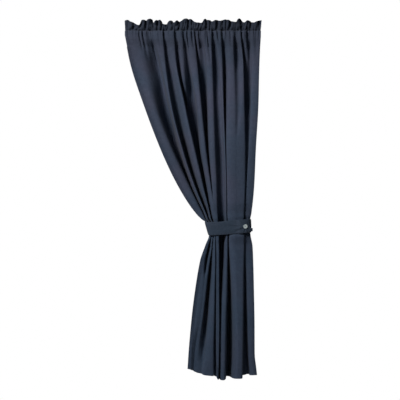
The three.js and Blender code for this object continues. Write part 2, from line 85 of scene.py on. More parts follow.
FLAT_WIDTH = 1370  # finished width of the panel before it is gathered
FLAT_LENGTH = 1969  # finished length of the panel from the pocket's lower seam to the hem
LAYER = 0.9  # thickness of one layer of the linen
HEM = PANEL_LOW[2]  # height of the lowest point of the hem
SEAM_LOW = PANEL_HIGH[2]  # height of the pocket's lower seam
SEAM_TOP = 15  # height of the gathering seam above the rod's axis
SEAM_DEPTH = 10  # depth of the tight gathers at the gathering seam
HANG = {"forward": 8, "down_to": -360}  # the folds under the pocket hang forward, down to this height
TIE_MIDDLE = -1155  # height at which the tieback draws the folds tightest
SIDE_HEM = 25  # width of the hems down both sides
BOTTOM_HEM = 70  # height of the hem along the bottom
HEM_LAYERS = 3  # layers of cloth in a hem that is turned twice
HEM_STITCH = 3  # how far inside a hem's edge its stitches lie
VALLEY_DROP = 8  # how far the hem sags in the valleys between the folds
CORNER = {"reach": 70, "rise": 7}  # the hem's left corner curves up over this reach

# Heights of the sections at which the folds are laid out.
LEVELS = {
    "head": -15, "collar": -188, "chest": -426, "waist": -694, "ribs": -902, "neck": -1069, "roll": -1104,
    "grip": -1120, "tie": -1196, "skirt": -1262, "knee": -1360, "shin": -1705, "cuff": -1925, "foot": -2015,
}
HEIGHTS = list(LEVELS.values())

# The share of the flat width that shows in the folds at some heights. The rest lies in crumples too small
# to lay out: at the pocket's seam, and where the tie packs the cloth.
TAKEN = [
    (SEAM_LOW, 0.84), (SEAM_LOW - 250, 1), (-640, 1), (-1000, 0.7), (-1090, 0.6), (-1155, 0.6), (-1215, 0.66),
    (-1330, 0.74), (-1705, 0.64), (-2015, 0.62),
]

# The folds that run the whole height, from left to right. These are given from height to height:
# back: how far the crown stands behind the foremost plane, as a share of the depth;
# deep: how deep the valley on its right is, as a share of the depth;
# floor: where that valley's floor starts and ends, as shares of its width.
# hem: height of the bottom edge under the crown; then, at each level, its left and right lip.
FOLD_COLUMNS = ("name", "back", "deep", "floor", "hem", *LEVELS)
FOLD_ROWS = [
    ("edge", [(-640, 0.04), (-1120, 0.14), (-1360, 0.02)],
     [(-60, 1), (-180, 1.5), (-540, 1.45), (-694, 1.15), (-1300, 1), (-1480, 0)],
     [(-158, 0.62, 0.84), (-277, 0.75, 0.92), (-396, 0.6, 0.94), (-515, 0.4, 0.9), (-694, 0.2, 0.72),
      (-1300, 0.2, 0.66), (-1480, 0.8, 0.9)], -1990,
     (-403, -304), (-368, -274), (-290, -218), (-187, -114), (-88, -20), (21, 60), (56, 76),
     (80, 88), (99, 104), (78, 91), (46, 72), (0, 30), (-16, -4), (-22, -8)),
    ("side", [(-1120, 0.08), (-1705, 0.05), (-1900, 0.13)],
     [(-1480, 1), (-1705, 0.6), (-1880, 0.38), (-2015, 0.16)],
     [(-180, 0.1, 0.4), (-277, 0.1, 0.6), (-426, 0.1, 0.5), (-600, 0.1, 0.4), (-1500, 0.1, 0.4),
      (-1705, 0.2, 0.6), (-1900, 0.6, 0.88)], -2004,
     (-224, -176), (-189, -159), (-142, -125), (-74, -57), (-9, 13), (66, 78), (80, 91),
     (94, 102), (108, 118), (104, 113), (86, 100), (50, 62), (16, 34), (8, 26)),
    ("second", [(0, 0.03)],
     [(-120, 1), (-330, 1.35), (-560, 1.2), (-694, 1), (-900, 1), (-1021, 0.6), (-1196, 0.9),
      (-1330, 0.45), (-1705, 0.3)], [(0, 0.12, 0.84)], -2024,
     (-152, -110), (-113, -95), (-66, -45), (-14, 16), (36, 64), (90, 102), (98, 109),
     (107, 118), (122, 132), (116, 134), (113, 134), (94, 128), (72, 124), (64, 124)),
    ("third", [(0, 0.06)], [(-120, 1), (-277, 1.25), (-426, 1.1), (-690, 1), (-1030, 0)],
     [(0, 0.12, 0.6)], -2037,
     (-46, 10), (-17, 30), (22, 53), (46, 82), (80, 108), (110, 126), (118, 128),
     (123, 130), (134, 138), (137, 141), (138, 143), (137, 142), (137, 142), (137, 142)),
    ("fourth", [(0, 0), (-1360, 0.05)],
     [(-150, 1), (-420, 0.48), (-694, 0.5), (-1069, 0.5), (-1196, 1), (-1527, 0.9), (-1705, 0.45)],
     [(0, 0.12, 0.88)], -2047,
     (58, 112), (80, 118), (86, 125), (94, 134), (112, 143), (129, 147), (134, 149),
     (138, 150), (146, 154), (148, 155), (149, 156), (150, 156), (148, 155), (147, 153)),
    ("fifth", [(0, 0.05), (-1360, 0.09)],
     [(-426, 1), (-694, 0.45), (-1021, 0.25), (-1196, 0.4), (-1400, 1)], [(0, 0.12, 0.42)], -2053,
     (128, 169), (154, 177), (173, 182), (183, 192), (192, 197), (193, 198), (193, 199),
     (192, 201), (192, 204), (186, 206), (182, 207), (164, 201), (160, 198), (160, 196)),
    ("sixth", [(0, 0)], [(-110, 1), (-260, 0.34), (-480, 0.14), (-660, 0)], [(0, 0.3, 0.7)], -2040,
     (208, 240), (210, 246), (202, 252), (198, 250), (203, 253), (203, 256), (206, 256),
     (208, 256), (214, 256), (214, 257), (220, 258), (240, 268), (244, 270), (240, 266)),
    ("seventh", [(0, 0.02), (-1400, 0)],
     [(-200, 1), (-396, 0.8), (-515, 0.5), (-694, 0.3), (-1021, 0.2), (-1250, 0.2), (-1500, 0.45),
      (-1705, 0.6)], [(0, 0.1, 0.35)], -2040,
     (264, 284), (290, 300), (286, 306), (265, 311), (262, 309), (262, 303), (262, 302),
     (262, 301), (264, 304), (266, 304), (268, 303), (274, 299), (272, 296), (270, 294)),
    ("last", [(-1705, 0.15), (-2015, 0.22)], [(0, 1)], [(0, 0.1, 0.6)], -2026,
     (346, 402), (350, 394), (344, 388), (331, 372), (318, 363), (309, 346), (309, 339),
     (308, 338), (309, 340), (310, 353), (312, 357), (318, 364), (326, 366), (334, 376)),
]
FOLDS = [dict(zip(FOLD_COLUMNS, row)) for row in FOLD_ROWS]

# Small folds that stand in a valley.
# top, end: the shares of the valley's width that they take at the heading and lower down;
# stands: the share of the valley's depth that they rise; dies: the heights between which they sink again.
TUCK_COLUMNS = ("after", "top", "end", "stands", "dies")
TUCK_ROWS = [
    ("second", (0.33, 0.74), (0.1, 0.3), 0.85, (-260, -460)),
    ("third", (0.16, 0.4), (0.16, 0.4), 0.6, (-60, -250)),
    ("seventh", (0.33, 0.5), (0.33, 0.5), 0.8, (-60, -260)),
]
TUCKS = {row[0]: dict(zip(TUCK_COLUMNS, row)) for row in TUCK_ROWS}
TUCK_FLOOR = (0.2, 0.85)  # where the floor of the valley on its right starts and ends

# How a crown turns into the valleys beside it. left, right: how far back its lips lie, as shares of those
# valleys' depth; edge: the same at the panel's two edges; middle: where its foremost point lies across it.
CROWN = {"left": 0.14, "right": 0.07, "edge": 0.04, "middle": 0.65}

# The middle of a valley's walls: how far from its left or right lip to the floor, and how deep.
WALL = {"left": 0.6, "right": 0.55, "deep": 0.55}

# How far the hem's height has passed from one crown's to the next one's at a valley's points.
HEM_AT = {"lip": 0.25, "wall": 0.35, "floor": 0.45}

# The bottom of a deep valley reaches behind its crown: as a share of it, at the most, and from what depth on.
UNDERCUT = {"share": 0.12, "most": 7, "depths": (0.1, 0.6)}

# How much flatter the folds lie towards the panel's sides: everywhere, and more at the tie.
NARROWING = {"all": 0.12, "tie": 0.36, "power": 2.5}

CONTROL_POINTS = 7  # points of a section from one crown to the next
MEASURED = (0, 1, 2, 3, 4.5, 6)  # the places among them between which a section's length is measured
DEPTHS = (1.0, 200.0)  # the folds' depth is sought between these
HALVINGS = 30  # times that this range is halved
FINE = 30  # places from one control point to the next where a section is read closely
BEND_WEIGHT = 0.8  # how strongly a sheet's columns gather where the cloth bends

# The ruffle's top edge from left to right: x, height above the rod's axis, and lean to the back.
RUFFLE = np.array([
    (-404, 76, 4), (-380, 75, -6), (-368, 66, -14), (-352, 63, 10), (-335, 52, -4), (-313, 50, -14),
    (-303, 74, -16), (-295, 76, -16), (-280, 76, 10), (-262, 80, -14), (-254, 82, -16), (-239, 76, 12),
    (-231, 62, 0), (-220, 73, -14), (-207, 77, 12), (-196, 76, -10), (-184, 65, 10), (-173, 53, -8),
    (-149, 62, 12), (-137, 72, -12), (-119, 70, 10), (-112, 62, -2), (-96, 72, -12), (-82, 69, 12),
    (-68, 71, -4), (-54, 81, -12), (-42, 83, -14), (-24, 83, 12), (-17, 83, -6), (-4, 80, 12),
    (12, 66, -4), (38, 60, -12), (58, 64, -12), (66, 80, -14), (84, 79, 12), (92, 76, -8),
    (104, 77, 12), (116, 68, -2), (130, 74, -14), (145, 80, 12), (160, 72, -4), (184, 77, -10),
    (206, 76, -14), (221, 75, 10), (240, 67, -6), (258, 66, -14), (266, 81, -14), (292, 74, 14),
    (304, 63, -4), (322, 73, -14), (345, 68, 12), (362, 62, -8), (376, 69, -12), (388, 76, 8), (405, 77, 2),
], float)
FLARE = {"left": 2, "right": 7, "power": 9}  # how far the ruffle's ends spread past the pocket
RUFFLE_FORWARD = 8  # how far the ruffle's edge hangs forward of its lean
RUFFLE_RISE = 0.7  # the power with which it goes over to that lean
RUFFLE_LAYER_GAP = 1  # half the room between the ruffle's two layers
RUFFLE_TURN = {"steepest": 1.6, "aside": 1.6}  # the slope of its lean, and how far that turns it aside
RIM_TURNS = (45, 90, 135)  # angles of the rows that go round its top edge, in degrees

# The ruffle's pleats and its soft bulge to the front.
PLEAT = {"pitch": 37, "slant": 0.3, "rise": 4.95, "even": 0.7, "grows": (-0.3, 0.5)}
BULGE = {"rise": 5, "ends": 0.55, "even": 0.7}
CRUMPLE_GROWS = (0, 0.2)

# The pocket: how far its cloth clears the rod, how far its folds stand off the rod and from which height on,
# the height at which its walls turn over the rod, and how far its back wall starts behind the panel.
POCKET = {"clear": 1.2, "stand": 20, "stands_from": -28, "turns_at": 5, "behind": 1.6}
TAIL = (0, 0.2, -7)  # the turned edge below the back wall
HEADING_BUNCH = 0.5  # how much the heading's columns follow the folds and not the width alone

# Rows of the heading's mesh: up the front wall, over the rod, up the ruffle, and down the back wall.
FRONT_ROWS = 17
SHOULDER_ROWS = 6
RUFFLE_ROWS = 15
BACK_ROWS = 14

# The small gathers at the gathering seam.
GATHER = {"pitch": 21, "rise": 3.4, "fades": 30, "even": 0.6, "up_ruffle": 40}

# Creases that start at the gathering seam: x at the seam and x at the lower end, as places on the seam,
# half width, depth (a ridge where it is less than 0), and the height at which the crease has died away.
CREASES = [
    (-381, -377, 6, 3, -120), (-318, -312, 5, 10, -140), (-297, -292, 6, 14, -190), (-264, -246, 5, 13, -120),
    (-250, -238, 7, 16, -280), (-202, -206, 7, 4, -140), (-33, -37, 5, 14, -190), (-6, -3, 5, 12, -120),
    (86, 92, 5, 13, -210), (76, 72, 4, 5, -110), (144, 154, 4.5, 12, -75), (186, 187, 8, -14, -60),
    (223, 226, 6, 5, -120), (248, 249, 7, -12, -40), (299, 299, 8, -12, -80), (372, 376, 8, 5, -200),
    (391, 387, 5, 5, -110),
]
CREASE_SPREAD = 0.4  # how much wider a crease is where it ends
CREASE_FADE = 0.8  # share of its height over which it dies away

# Unevenness of the cloth: how much, how far apart its lumps are across and down, and its random draw.
PLAY = {
    "gather_drift": (0.9, (52, 1), 3), "gather_size": (0.4, (31, 1), 4),
    "long_ripple": (1.0, (62, 520), 11), "short_ripple": (1.2, (95, 170), 12), "pull": (1.8, (19, 60), 13),
    "hem_wave": (2.2, (58, 1), 14), "crumple": (3.4, (24, 16), 21), "bulge": (0.5, (40, 1), 22),
    "pleat_turn": (0.8, (70, 60), 23), "pleat_size": (0.3, (45, 1), 24), "strap": (0.9, (70, 22), 31),
}

# Where that shows on the panel: it starts under the pocket, the tie stills it and adds slanting pulls,
# the hem waves, and the left edge curls forward.
SLACK_FROM = 90
STILLED = {"reach": 55, "share": 0.75}
PULL = {"reach": 120, "slant": 0.35}
HEM_WAVE = {"above": 260, "beside": 160}
CURL = {"width": SIDE_HEM + 2, "rise": 13, "power": 1.5, "heights": (-20, -110), "stilled": 0.7}

# The cloth puffs out beside the tieback's edges: how far, the distances from the edge between which it grows
# and dies away again, and the depths between which it grows on the front.
PUFF_UNDER = (7, (1, 13), (70, 20))
PUFF_OVER = (3, (2, 14), (60, 18))
PUFF_FRONT = (-5, -30)

# Rows of the panel's mesh: the height that each run reaches, and how far its rows stand apart.
ROW_RUNS = [
    (-150, 6), (-320, 10), (-900, 19), (-1060, 11), (-1260, 7), (-1420, 11),
    (HEM + BOTTOM_HEM + HEM_STITCH, 18), (HEM + BOTTOM_HEM - HEM_STITCH, 3), (HEM, 9),
]
PANEL_COLUMNS = 310  # columns of the two meshes, from left to right
HEADING_COLUMNS = 420
HEADING_SAMPLED = 7  # its flat length is a mean over every seventh column
HEM_STEP = (SIDE_HEM - 2, SIDE_HEM + 3)  # from a side hem's three layers to one, across the cloth

# The tieback: the places of its sides and edges, of its two ends, and of the folds' tightest stretch.
TIE = {
    "left_top": 68, "left_low": 91, "right": 346,
    "top_left": -1118, "top_right": -1103, "low_left": -1201, "low_right": -1182,
    "inner_end": 278, "lap_from": 252, "lap_risen": 275, "tip": 352, "tip_height": -1166, "tip_half": 9,
    "bend": 314, "slant": 0.36, "reach": 170,
}
STRAP = 3  # thickness of the tieback
STRAP_FLAT = (790, 82)  # its flat length and width
STRAP_COLUMNS = 300
STRAP_ROWS = 45
OVAL_POWER = 4  # it runs round the panel in an oval with soft corners: 2 would be round
LOOP_POINTS = 240  # points once round it, before its ends are cut
LAP_POINTS = 40
LAP_GAP = 0.6  # room between the lap and the strap under it
LAP_FOLDS = (260, 200)  # the folds towards the button start between these distances from the tip
TIP_LENGTH = 62  # how far from the tip the strap narrows
EDGE_STITCH = 5  # how far the tieback's stitches lie from its edges
EDGE_ROLL = {"back": 1.7, "power": 6}  # its edges roll back
EDGE_ROUND = {"power": 12, "left": 0.18}  # and thin out to this share of its thickness
TOP_DIP = {"drop": 5, "grows": (0, 0.08), "dies": (0.6, 0.3)}  # its upper edge dips at the front left

# Soft folds of the strap towards the button: where each starts, its half width, and how far it stands.
STRAP_FOLDS = [
    (176, -1126, 8, 2.2), (184, -1141, 6, -1.3), (216, -1171, 8, 2.6), (236, -1187, 5, -1.2),
    (258, -1112, 6, 1.8), (288, -1190, 5, 1.9), (302, -1190, 4, -1.5), (316, -1186, 4, 1.8),
    (330, -1112, 5, 1.2), (336, -1132, 4, -1.2),
]
FOLD_GROWS, FOLD_DIES = (0, 0.45), (1.05, 0.85)  # shares of the way to the button

# The button: how many holes, how far they are from its middle, their radius, and the turn of the first.
HOLES = {"count": 4, "out": 2.6, "radius": 1.15, "turn": 20, "sides": 20}
BUTTON_SIDES = 72

# The thread that holds it: its reach as a share of the holes' distance, its radius, how far it arches, and
# how far the second thread lies over the first.
THREAD = {"reach": 1.1, "radius": 0.55, "arch": 0.5, "over": 0.2}

# Outlines of the button and of one hole, from front to back: shares of the radius and of the thickness.
BUTTON_OUTLINE = [
    (0, 0), (0.62, 0), (0.85, 0.05), (0.96, 0.18), (1, 0.4), (0.99, 0.62), (0.95, 0.82), (0.88, 0.95),
    (0.8, 1), (0.7, 0.94), (0.6, 0.8), (0.5, 0.72), (0.3, 0.68), (0, 0.67),
]
HOLE_OUTLINE = [(0, -0.5), (1, -0.5), (1, 1.5), (0, 1.5)]

# Stitches: their spacing, half length, radius, and how far they arch off the cloth.
STITCH = {"pitch": 3.2, "half": 1.25, "radius": 0.3, "arch": 0.35}
BAR_SIDES = 6
BAR_RINGS = ((-0.7, 0.85), (0, 1), (0.7, 0.85))  # places along a stitch, and its thickness there


# ---- small tools for shapes

def mix(a, b, t):
    return a + (b - a) * t


def ease(a, b, v):
    """0 at a and 1 at b, with soft ends."""
    t = np.clip((v - a) / (b - a), 0, 1)
    return t * t * (3 - 2 * t)


def bell(v, middle, reach):
    """1 at the middle, dying away on both sides."""
    return np.exp(-((v - middle) / reach) ** 2)


def unevenness(across, down, pitch, seed):
    """Smooth random heights from -1 to 1 over the cloth, whose lumps are a pitch (across, down) apart."""
    size = 128
    lattice = np.random.default_rng(seed).uniform(-1, 1, (size, size))
    x, y = np.broadcast_arrays(np.asarray(across) / pitch[0], np.asarray(down) / pitch[1])
    i, j = np.floor(x).astype(int), np.floor(y).astype(int)
    s, t = x - i, y - j
    s, t = s * s * (3 - 2 * s), t * t * (3 - 2 * t)
    at = lambda a, b: lattice[(i + a) % size, (j + b) % size]
    return mix(mix(at(0, 0), at(1, 0), s), mix(at(0, 1), at(1, 1), s), t)


def bend(start, end, rise_start, rise_end, t):
    """A curve from start to end that rises at these rates at its ends, read at the share t."""
    return (start * (2 * t**3 - 3 * t**2 + 1) + end * (3 * t**2 - 2 * t**3)
            + rise_start * (t**3 - 2 * t**2 + t) + rise_end * (t**3 - t**2))


def curve_through(xs, ys, x):
    """A smooth curve through the points (xs, ys), read at x."""
    slopes = np.gradient(ys, xs)
    k = np.clip(np.searchsorted(xs, x, side="right") - 1, 0, len(xs) - 2)
    h = xs[k + 1] - xs[k]
    return bend(ys[k], ys[k + 1], slopes[k] * h, slopes[k + 1] * h, np.clip((x - xs[k]) / h, 0, 1))


def read_line(points, run, at):
    """The places on a line of points at these distances, where run is each point's distance."""
    return np.stack([np.interp(at, run, points[:, k]) for k in range(points.shape[1])], -1)


def unit(vectors):
    return vectors / np.maximum(np.linalg.norm(vectors, axis=-1, keepdims=True), 1e-9)


def facing(grid):
    """The direction in which each point of a grid faces: the front, when rows run down and columns right."""
    def along(axis):
        step = unit(np.diff(grid, axis=axis))
        first, last = step.take([0], axis), step.take([-1], axis)
        return np.concatenate([first, step], axis) + np.concatenate([step, last], axis)
    return unit(np.cross(along(0), along(1)))


# ---- the panel's folds

def between(values, z):
    """A smooth curve through a fold's values at the levels, read at one height."""
    last = len(HEIGHTS) - 1
    step = lambda k: (values[k + 1] - values[k]) / (HEIGHTS[k + 1] - HEIGHTS[k])
    if z >= HEIGHTS[0]:
        return values[0]
    if z <= HEIGHTS[last]:
        return values[last] + step(last - 1) * (z - HEIGHTS[last])

    def tangent(k):
        if k in (0, last):
            return step(min(k, last - 1))
        a, b = step(k - 1), step(k)
        return 2 * a * b / (a + b) if a * b > 0 else 0

    i = next(k for k in range(last) if z >= HEIGHTS[k + 1])
    h = HEIGHTS[i + 1] - HEIGHTS[i]
    return bend(values[i], values[i + 1], h * tangent(i), h * tangent(i + 1), (z - HEIGHTS[i]) / h)


def profile(rows, z):
    """What rows of a height and its shares give at one height."""
    for (upper, *before), (lower, *after) in zip(rows, rows[1:]):
        if z > lower:
            return mix(np.array(before), np.array(after), ease(upper, lower, z))
    return np.array(rows[-1][1:])


def folds_at(z):
    """Every fold at one height, tucks included, from left to right."""
    lips = [[between([fold[level][side] for level in LEVELS], z) for side in (0, 1)] for fold in FOLDS]
    backs = [profile(fold["back"], z)[0] for fold in FOLDS]
    ribs = []
    for i, fold in enumerate(FOLDS):
        left, right = lips[i]
        deep = profile(fold["deep"], z)[0]
        ribs.append({"left": left, "right": right, "back": backs[i], "hem": fold["hem"], "tuck": False,
                     "deep": deep, "floor": profile(fold["floor"], z)})
        tuck = TUCKS.get(fold["name"])
        if not tuck:
            continue
        gap = lips[i + 1][0] - right
        t = ease(LEVELS["head"], tuck["dies"][1], z)
        share = [right + gap * mix(tuck["top"][side], tuck["end"][side], t) for side in (0, 1)]
        kept = 1 - ease(*tuck["dies"], z)
        ribs.append({
            "left": share[0], "right": share[1], "deep": deep, "floor": TUCK_FLOOR, "tuck": True,
            "back": max(deep * (1 - tuck["stands"] * kept), (backs[i] + backs[i + 1]) / 2),
            "hem": (fold["hem"] + FOLDS[i + 1]["hem"]) / 2,
        })
    return ribs


def undercut(rib, floor):
    """How far the bottom of a deep valley reaches behind the crown beside it."""
    if rib["tuck"]:
        return 0
    most = min(UNDERCUT["share"] * (rib["right"] - rib["left"]), UNDERCUT["most"])
    return most * ease(*UNDERCUT["depths"], floor - rib["back"])


@functools.lru_cache(maxsize=None)
def section_points(z):
    """A section's control points for a depth of 1: three on each crown and four in each valley.
    Each is x, y from 0 at the foremost crown to 1 in the deepest valley, and the hem's height."""
    ribs = folds_at(z)
    points = []
    before, hem_before = 1, ribs[0]["hem"]
    for i, (rib, following) in enumerate(zip(ribs, [*ribs[1:], None])):
        left, right, back, hem = (rib[key] for key in ("left", "right", "back", "hem"))
        left_lip = CROWN["left"] * before if i else CROWN["edge"]
        points.append((left, back + left_lip, mix(hem, hem_before, HEM_AT["lip"])))
        points.append((mix(left, right, CROWN["middle"]), back, hem))
        if following is None:
            points.append((right, back + CROWN["edge"], hem))
            break
        floor = max(rib["deep"], back, following["back"])
        after = floor - back
        hem_at = lambda share: mix(hem, following["hem"], share)
        points.append((right, back + CROWN["right"] * after, hem_at(HEM_AT["lip"])))
        before, hem_before = floor - following["back"], hem
        gap = following["left"] - right
        near, far = (right + share * gap for share in rib["floor"])
        near -= undercut(rib, floor)
        sag = VALLEY_DROP * min(after, before)
        down = mix(back, floor, WALL["deep"])
        up = mix(following["back"], floor, WALL["deep"])
        points.append((mix(right, near, WALL["left"]), down, hem_at(HEM_AT["wall"])))
        points.append((near, floor, hem_at(HEM_AT["floor"]) - sag))
        points.append((far, floor, hem_at(1 - HEM_AT["floor"]) - sag))
        points.append((mix(following["left"], far, WALL["right"]), up, hem_at(1 - HEM_AT["wall"])))
    return np.array(points)


def smooth(points, places):
    """A smooth line through the control points, read at places counted in points."""
    line = np.vstack([2 * points[0] - points[1], points, 2 * points[-1] - points[-2]])
    i = np.clip(np.floor(places).astype(int), 0, len(points) - 2)
    t = (places - i)[:, None]
    weights = ((1 - t) ** 3, 3 * t**3 - 6 * t**2 + 4, -3 * t**3 + 3 * t**2 + 3 * t + 1, t**3)
    return sum(weight * line[i + k] for k, weight in enumerate(weights)) / 6


def lay(z, places, depth):
    """The section at height z, its folds of this depth: x, y and the hem's height at each place."""
    points = section_points(z)
    line = smooth(points, places)
    left, right = smooth(points, np.array([0, len(points) - 1.0]))[:, 0]
    narrowing = NARROWING["all"] + NARROWING["tie"] * bell(z, TIE_MIDDLE, TIE["reach"])
    across = np.abs(2 * (line[:, 0] - left) / (right - left) - 1)
    forward = HANG["forward"] * ease(HANG["down_to"], SEAM_LOW, z)
    line[:, 1] = (line[:, 1] - 0.5) * depth * (1 - narrowing * across ** NARROWING["power"]) - forward
    return line


def length_along(line):
    """Distance along a line from its first point to each point."""
    steps = np.linalg.norm(np.diff(line, axis=0), axis=1)
    return np.concatenate([[0], np.cumsum(steps)])


def flat_places(line):
    """Where the points of a section lie across the flat cloth."""
    along = length_along(line[:, :2])
    return along * (FLAT_WIDTH / along[-1])


@functools.lru_cache(maxsize=None)
def depth_at(z):
    """Depth of the folds that takes up the gathered width of the cloth at this height."""
    count = len(section_points(z))
    places = [first + place for first in range(0, count, CONTROL_POINTS) for place in MEASURED]
    places = np.array([place for place in places if place < count], float)
    width = FLAT_WIDTH * profile(TAKEN, z)[0]
    low, high = DEPTHS
    for _ in range(HALVINGS):
        half = (low + high) / 2
        if length_along(lay(z, places, half)[:, :2])[-1] < width:
            low = half
        else:
            high = half
    return low


def section(z, places):
    return lay(z, places, depth_at(z))


def fine_places():
    """Places close together all along a section."""
    last = len(section_points(SEAM_LOW)) - 1
    return np.linspace(0, last, FINE * last + 1)


def column_places(count):
    """Places of a sheet's columns: closer together where the cloth bends."""
    fine = fine_places()
    cost = np.zeros(len(fine))
    for z in HEIGHTS[1:]:
        line = section(z, fine)[:, :2]
        along = length_along(line)
        heading = np.unwrap(np.arctan2(*np.diff(line, axis=0).T[::-1]))
        turned = np.concatenate([[0, 0], np.cumsum(np.abs(np.diff(heading)))])
        cost += along / along[-1] + BEND_WEIGHT * turned / turned[-1]
    return np.interp(np.linspace(0, 1, count), cost / cost[-1], fine)


# ---- meshes

def add_object(name, data):
    made = bpy.data.objects.new(name, data)
    bpy.context.scene.collection.objects.link(made)
    return made


def mesh_piece(name, points, faces):
    """A smooth mesh object from points in millimetres."""
    mesh = bpy.data.meshes.new(name)
    mesh.from_pydata((np.asarray(points) * MM).tolist(), [], faces)
    mesh.polygons.foreach_set("use_smooth", [True] * len(mesh.polygons))
    mesh.update()
    return add_object(name, mesh)


def capped_rings(rings, sides):
    """The faces of a closed solid whose points are a first one, so many rings, and a last one."""
    corner = lambda ring, k: 1 + ring * sides + k % sides
    last_ring, end = rings - 1, 1 + rings * sides
    faces = []
    for k in range(sides):
        faces.append((0, corner(0, k), corner(0, k + 1)))
        for ring in range(last_ring):
            faces.append((corner(ring, k), corner(ring + 1, k), corner(ring + 1, k + 1), corner(ring, k + 1)))
        faces.append((end, corner(last_ring, k + 1), corner(last_ring, k)))
    return faces


def flipped(corners):
    """A face's corners the other way round, from the same first one."""
    return [corners[0], *corners[:0:-1]]


# The page that finishes are baked on: where each side of a sheet lies on it, and the strips for its rim.
PAGE = {"front": 0.002, "back": 0.504, "width": 0.494, "foot": 0.01, "height": 0.98}
RIM_STRIPS = {"left": (0.4965, 0.498), "right": (0.5, 0.5015), "top": (0.992, 0.998), "foot": (0.008, 0.002)}


def make_sheet(name, front, back, cloth):
    """A closed sheet between two grids of points. cloth is each point's place on the flat cloth, in mm."""
    rows, columns = front.shape[:2]
    near = np.arange(rows * columns).reshape(rows, columns)
    far = near + rows * columns
    across, down = np.meshgrid(np.linspace(0, 1, columns), np.linspace(1, 0, rows))
    page = np.stack([PAGE["front"] + PAGE["width"] * across, PAGE["foot"] + PAGE["height"] * down], -1)
    turned = page + (PAGE["back"] - PAGE["front"], 0)
    first, last = np.s_[:-1], np.s_[1:]
    square = [(first, first), (last, first), (last, last), (first, last)]
    parts = [  # corners of the faces, and their places on the page
        ([near[at] for at in square], [page[at] for at in square]),
        ([far[at] for at in flipped(square)], [turned[at] for at in flipped(square)]),
    ]

    def add_rim(strip, edge, order=list):
        """Joins the two grids along one edge of the sheet."""
        ring = [(near, first, 0), (far, first, 1), (far, last, 1), (near, last, 0)]
        corners, spots = [], []
        for grid, run, beside in order(ring):
            corners.append(grid[edge(run)])
            spot = page[edge(run)].copy()
            spot[..., 0 if strip in ("left", "right") else 1] = RIM_STRIPS[strip][beside]
            spots.append(spot)
        parts.append((corners, spots))

    add_rim("left", lambda run: (run, 0))
    add_rim("right", lambda run: (run, -1), flipped)
    add_rim("top", lambda run: (0, run), flipped)
    add_rim("foot", lambda run: (-1, run))
    faces = np.vstack([np.stack(corners, -1).reshape(-1, 4) for corners, _ in parts])
    baked = np.vstack([np.stack(spots, -2).reshape(-1, 2) for _, spots in parts])
    flat = np.vstack([cloth.reshape(-1, 2)] * 2) * MM
    piece = mesh_piece(name, np.vstack([front.reshape(-1, 3), back.reshape(-1, 3)]), faces.tolist())
    mesh = piece.data
    for label, corners in (("cloth", flat[faces.ravel()]), ("OFBake", baked)):
        mesh.uv_layers.new(name=label).data.foreach_set("uv", corners.astype(np.float32).ravel())
    rim = np.zeros((rows, columns), bool)
    rim[[0, -1], :] = True
    rim[:, [0, -1]] = True
    rim = np.tile(rim.ravel(), 2)
    ends = np.empty(len(mesh.edges) * 2, int)
    mesh.edges.foreach_get("vertices", ends)
    mesh.edges.foreach_set("use_edge_sharp", rim[ends.reshape(-1, 2)].all(axis=1))
    return piece


def put(piece, node, material):
    """Hands a finished piece to the frame."""
    piece.data.materials.append(material)
    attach(piece, "root")
    if node:
        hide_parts(node)
    return piece


def put_sewn(sheet, node, linen, rows, thread):
    """Hands a sheet and its rows of stitches to the frame."""
    sewn = stitch_rows(f"{node}_stitches", rows, thread)
    return put(sheet, node, linen), sewn


# ---- the cloth's own play on its folds

def play(kind, across, down=0):
    size, pitch, draw = PLAY[kind]
    return size * unevenness(across, down, pitch, draw)


def gathers(along, z):
    """Small gathers that the seam over the rod makes. They die away above and below it."""
    wave = np.sin(2 * math.pi * (along / GATHER["pitch"] + play("gather_drift", along)))
    size = GATHER["even"] + play("gather_size", along)
    return GATHER["rise"] * wave * size * np.exp(-np.abs(z - SEAM_TOP) / GATHER["fades"])


def creases(x_seam, z):
    """How deep the creases under the gathering seam lie at a place on the seam and a height."""
    depth = 0
    for x_top, x_low, half, deep, ends in CREASES:
        t = np.clip((SEAM_TOP - z) / (SEAM_TOP - ends), 0, 1)
        shape = bell(x_seam, mix(x_top, x_low, t), half * (1 + CREASE_SPREAD * t))
        depth = depth + deep * shape * ease(ends, mix(ends, 0, CREASE_FADE), z)
    return depth


def row_heights():
    heights = [SEAM_LOW]
    for lower, spacing in ROW_RUNS:
        count = max(1, round((heights[-1] - lower) / spacing))
        heights += list(np.linspace(heights[-1], lower, count + 1)[1:])
    return np.array(heights)


def panel_play(along, z):
    """How far the hanging cloth lies off its folds: slack, long ripples, pulls by the tie, curling edges."""
    near_tie = bell(z, TIE_MIDDLE, PULL["reach"])
    loose = 1 - STILLED["share"] * bell(z, TIE_MIDDLE, STILLED["reach"])
    loose = loose * ease(SEAM_LOW, SEAM_LOW - SLACK_FROM, z)
    ripples = play("long_ripple", along, z) + play("short_ripple", along, z)
    pulls = play("pull", along + PULL["slant"] * (z - TIE_MIDDLE), z) * near_tie
    waves = play("hem_wave", along) * ease(HEM + HEM_WAVE["above"], HEM, z)
    waves = waves * ease(0, HEM_WAVE["beside"], along)
    curl = CURL["rise"] * (1 - along / CURL["width"]).clip(0, 1) ** CURL["power"]
    curl = curl * ease(*CURL["heights"], z) * (1 - CURL["stilled"] * near_tie)
    return (ripples + pulls) * loose + waves + curl + gathers(along, z)


def strap_edges(x):
    """How far across the tieback x is, as a share, and the heights of the tieback's two edges there."""
    share = (x - TIE["left_top"]) / (TIE["right"] - TIE["left_top"])
    return share, mix(TIE["top_left"], TIE["top_right"], share), mix(TIE["low_left"], TIE["low_right"], share)


